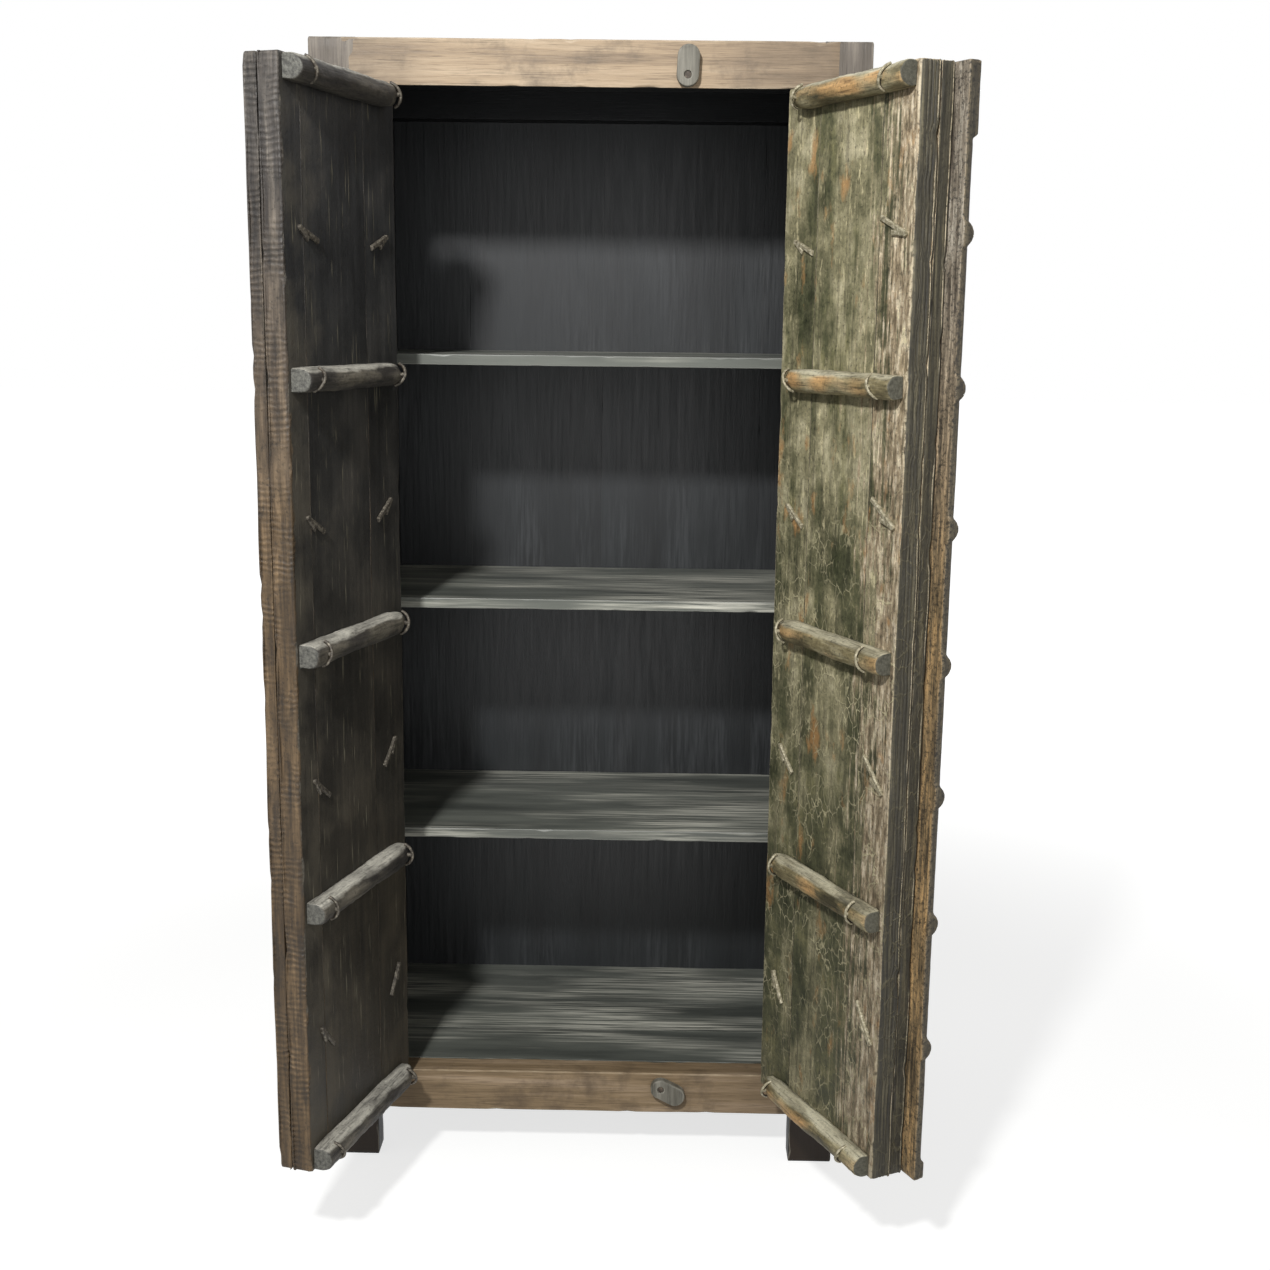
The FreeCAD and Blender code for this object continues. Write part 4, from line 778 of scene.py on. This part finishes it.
def carved_copy(node, body, material, voxel_mm, hollow_mm, seed):
    """A CAD shape gone over by hand: remeshed finely, with its edges softened and its faces waved."""
    source = frame["nodes"][node].data
    shape = bpy.data.meshes.new("carving")
    shape.from_pydata(own_points(node, body), [], [tuple(f.vertices) for f in source.polygons])
    clean = bmesh.new()
    clean.from_mesh(shape)
    bmesh.ops.remove_doubles(clean, verts=clean.verts, dist=SAME_POINT)
    clean.to_mesh(shape)
    clean.free()
    helper = bpy.data.objects.new("carving", shape)
    bpy.context.collection.objects.link(helper)
    remesh = helper.modifiers.new("even_faces", "REMESH")
    remesh.mode = "VOXEL"
    remesh.voxel_size = voxel_mm * MM
    soften = helper.modifiers.new("soft_edges", "SMOOTH")
    soften.iterations = SOFTEN_ROUNDS
    soften.factor = SOFTEN_SHARE
    graph = bpy.context.evaluated_depsgraph_get()
    even = bpy.data.meshes.new_from_object(helper.evaluated_get(graph))
    bpy.data.objects.remove(helper)
    stock = new_stock()
    normals = [v.normal.copy() for v in even.vertices]
    sharp = [0.0] * len(normals)
    touch = [0] * len(normals)
    for edge in even.edges:
        i, j = edge.vertices
        turn = 1.0 - normals[i].dot(normals[j])
        for v in (i, j):
            sharp[v] += turn
            touch[v] += 1
    for v, normal, bend, count in zip(even.vertices, normals, sharp, touch):
        stock["points"].append(tuple(v.co - normal * dip(v.co, hollow_mm, *CARVED_WAVES, seed)))
        stock["arris"].append(min(1.0, EDGE_RUB * bend / max(1, count)))
        stock["tone"].append(0.5)
    stock["faces"] = [tuple(f.vertices) for f in even.polygons]
    bpy.data.meshes.remove(even)
    make_piece("carved_" + node, stock, MATERIAL[material], body, [node])


# Boards of the case: node, material, axis of the grain, arris mm, hollow mm, seed, and axis of the seams if it has any
CASE_BOARDS = (
    ("left_front_post", "post", Z, 4.0, 1.2, 1.0),
    ("left_rear_post", "post", Z, 4.0, 1.0, 3.0),
    ("left_top_side_rail", "side_rail", Y, 3.0, 0.8, 5.0),
    ("left_bottom_side_rail", "side_rail", Y, 3.0, 0.8, 7.0),
    ("left_side_boards", "side", Z, 1.6, 0.8, 9.0, Y),
    ("right_front_post", "post", Z, 4.0, 1.2, 2.0),
    ("right_rear_post", "post", Z, 4.0, 1.0, 4.0),
    ("right_top_side_rail", "side_rail", Y, 3.0, 0.8, 6.0),
    ("right_bottom_side_rail", "side_rail", Y, 3.0, 0.8, 8.0),
    ("right_side_boards", "side", Z, 1.6, 0.8, 12.0, Y),
    ("top_front_rail", "top_rail", X, 4.0, 1.2, 15.0),
    ("bottom_front_rail", "bottom_rail", X, 4.0, 1.2, 16.0),
    ("top_rear_rail", "lying", X, 3.0, 0.8, 17.0),
    ("bottom_rear_rail", "lying", X, 3.0, 0.8, 18.0),
    ("back_boards", "back", Z, 0.7, 0.6, 19.0, X),
    ("top_boards", "lying", X, 1.8, 0.6, 23.0, Y),
    ("floor_boards", "shelf", X, 0.7, 0.6, 26.0, Y),
    ("lower_shelf", "shelf", X, 2.4, 0.8, 31.0),
    ("middle_shelf", "shelf", X, 2.4, 0.8, 32.0),
    ("upper_shelf", "shelf", X, 2.4, 0.8, 33.0),
    ("shelf_cleats", "cleat", Y, 2.0, 0.6, 35.0),
)


def dress_case():
    for node, *how in CASE_BOARDS:
        worn_boards(node, "case", *how)


# Roundings and hollows of the door's boards in mm
JOINT_ARRIS, HINGE_ARRIS, FREE_ARRIS = 0.9, 4.0, 10.0
PLANK_HOLLOW = 1.6
STILE_ARRIS, STILE_HOLLOW = 6.0, 2.8
LEDGE_ARRIS, LEDGE_HOLLOW = 5.0, 1.4
BEAD_LINES_FROM_INNER_FACE = (14 * MM, 20 * MM, 26 * MM)
BEAD_LINE_RADIUS = 1.3 * MM
BATTENS = range(1, 6)


def plank_arrises(side, plank):
    """Roundings of a plank's corners in the order of CORNERS: tight at the joints, worn at the door's own edges."""
    joint = (JOINT_ARRIS, JOINT_ARRIS)
    if plank == "middle":
        return joint + joint
    outer = (HINGE_ARRIS, HINGE_ARRIS) if plank == "hinge" else (HINGE_ARRIS, FREE_ARRIS)
    right_hand = (plank == "meeting") == (side == "left")
    return outer + joint if right_hand else joint + outer[::-1]


def bead_lines(body):
    """Places of the lines scored down the right door's free edge."""
    _, high = box_of(own_points("right_door_meeting_plank", body))
    return [high[Y] - depth for depth in BEAD_LINES_FROM_INNER_FACE], BEAD_LINE_RADIUS


def dress_door(side, seed):
    body = f"{side}_door"
    free_side = 1 if side == "left" else -1
    for k, plank in enumerate(("hinge", "middle", "meeting")):
        lines = bead_lines(body) if (side, plank) == ("right", "meeting") else None
        worn_boards(f"{side}_door_{plank}_plank", body, body, Z, plank_arrises(side, plank), PLANK_HOLLOW, seed + k, X,
                    lines, free_side if plank == "meeting" else 0)
    for k, stile in enumerate(("hinge", "meeting")):
        worn_boards(f"{side}_door_{stile}_stile", body, body, Z, STILE_ARRIS, STILE_HOLLOW, seed + 4 + k,
                    hewn_side=free_side if stile == "meeting" else 0)
    worn_boards(f"{side}_door_ledges", body, body, X, LEDGE_ARRIS, LEDGE_HOLLOW, seed + 7)
    for k in BATTENS:
        stock = new_stock()
        (low, high), = solids(f"{side}_batten_{k}", body)
        add_batten(stock, low, high, -free_side, seed + 12 + k)
        make_piece(f"worn_{side}_batten_{k}", stock, MATERIAL[f"{side}_batten"], body, [f"{side}_batten_{k}"])


def dress_metal():
    painted = {"left_door_studs": "left_iron", "right_door_studs": "right_iron", "right_batten_nails": "right_iron"}
    for node, slot in SLOT_OF.items():
        if slot == "forged_iron":
            frame["nodes"][node].material_slots[0].material = MATERIAL[painted.get(node, "iron")]


dress_case()
dress_door("left", seed=40.0)
dress_door("right", seed=70.0)
carved_copy("right_door_cover_strip", "right_door", "cover", voxel_mm=3.0, hollow_mm=1.2, seed=90.0)
carved_copy("top_turn_button", "top_button", "button", voxel_mm=1.3, hollow_mm=0.5, seed=91.0)
carved_copy("bottom_turn_button", "bottom_button", "button", voxel_mm=1.3, hollow_mm=0.5, seed=92.0)
dress_metal()


# Studio


def case_front():
    """The floor point under the middle of the case's front."""
    left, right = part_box("left_front_post"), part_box("right_front_post")
    return Vector(((left[0].x + right[1].x) / 2, left[0].y, 0.0))


FRONT = case_front()
CAMERA_FROM_FRONT = Vector((0.1181, -2.6898, 1.5214))
CAMERA_YAW, CAMERA_PITCH, CAMERA_ROLL = -0.0127, 0.1957, 0.0124
SENSOR_MM = 36.0
FOCAL_SHARE = 1585.2 / 1270


def set_camera():
    forward = Vector((math.sin(CAMERA_YAW) * math.cos(CAMERA_PITCH), math.cos(CAMERA_YAW) * math.cos(CAMERA_PITCH),
                      -math.sin(CAMERA_PITCH)))
    level = Vector((math.cos(CAMERA_YAW), -math.sin(CAMERA_YAW), 0.0))
    upright = level.cross(forward)
    right = math.cos(CAMERA_ROLL) * level + math.sin(CAMERA_ROLL) * upright
    up = -math.sin(CAMERA_ROLL) * level + math.cos(CAMERA_ROLL) * upright
    lens = bpy.data.cameras.new("camera")
    lens.sensor_width = SENSOR_MM
    lens.lens = SENSOR_MM * FOCAL_SHARE
    lens.dof.use_dof = False
    camera = bpy.data.objects.new("camera", lens)
    bpy.context.collection.objects.link(camera)
    turn = Matrix((right, up, -forward)).transposed()
    camera.matrix_world = Matrix.Translation(FRONT + CAMERA_FROM_FRONT) @ turn.to_4x4()
    bpy.context.scene.camera = camera


def add_lamp(name, place, target, size, watts):
    lamp = bpy.data.lights.new(name, "AREA")
    lamp.shape = "DISK"
    lamp.size = size
    lamp.energy = watts
    lamp_object = bpy.data.objects.new(name, lamp)
    bpy.context.collection.objects.link(lamp_object)
    lamp_object.location = FRONT + Vector(place)
    lamp_object.rotation_euler = (Vector(target) - Vector(place)).to_track_quat("-Z", "Y").to_euler()


SEEN_RAYS = ("Camera", "Glossy", "Transmission")


def seen_ray(tree):
    """1 where the eye looks straight, in a reflection or through glass."""
    straight, mirrored, through = (add(tree, "LightPath", out=f"Is {ray} Ray") for ray in SEEN_RAYS)
    seen = add(tree, "Math", {0: straight, 1: mirrored}, operation="MAXIMUM")
    return add(tree, "Math", {0: seen, 1: through}, operation="MAXIMUM")


WORLD_LIGHT = 0.3
FLOOR_GLOW_NEAR, FLOOR_GLOW_FAR = 0.72, 1.0
FLOOR_NEAR_M, FLOOR_FAR_M = 1.2, 3.2
FLOOR_SIZE_M = 60.0
# Lamps: name, place and target in metres from the case's front, width of the disc in metres, watts
LAMPS = (
    ("key_lamp", (-0.75, -3.0, 3.3), (0.0, 0.1, 1.1), 0.3, 125.0),
    ("fill_lamp", (1.8, -3.4, 1.6), (0.0, 0.2, 0.8), 2.0, 12.0),
)


def set_world():
    """Even pale light from all round, seen as white."""
    world = bpy.data.worlds.new("studio")
    bpy.context.scene.world = world
    world.use_nodes = True
    tree = world.node_tree
    strength = add(tree, "MapRange", {"Value": seen_ray(tree), "To Min": WORLD_LIGHT, "To Max": 1.0})
    background = tree.nodes["Background"]
    background.inputs["Color"].default_value = (1.0, 1.0, 1.0, 1.0)
    tree.links.new(strength, background.inputs["Strength"])


def set_floor():
    """Pale paper that keeps the soft shadow near the wardrobe and runs out to white."""
    material, tree, shader = start_material("studio_floor_paper")
    shader.inputs["Base Color"].default_value = linear("#B4B4B2")
    shader.inputs["Roughness"].default_value = 0.9
    shader.inputs["Specular IOR Level"].default_value = 0.0
    shader.inputs["Emission Color"].default_value = (1.0, 1.0, 1.0, 1.0)
    away = add(tree, "VectorMath", {0: add(tree, "TexCoord", out="Object")}, "Value", operation="LENGTH")
    glow = add(tree, "MapRange", {"Value": away, "From Min": FLOOR_NEAR_M, "From Max": FLOOR_FAR_M,
                                  "To Min": FLOOR_GLOW_NEAR, "To Max": FLOOR_GLOW_FAR}, interpolation_type="SMOOTHSTEP")
    glow = add(tree, "Math", {0: glow, 1: seen_ray(tree)}, **TIMES)
    tree.links.new(glow, shader.inputs["Emission Strength"])
    bpy.ops.mesh.primitive_plane_add(size=FLOOR_SIZE_M, location=(0.0, 0.0, 0.0))
    floor = bpy.context.object
    floor.name = "studio_floor"
    floor.data.materials.append(material)


set_camera()
set_world()
set_floor()
for lamp in LAMPS:
    add_lamp(*lamp)
bpy.context.scene.view_settings.view_transform = "Standard"
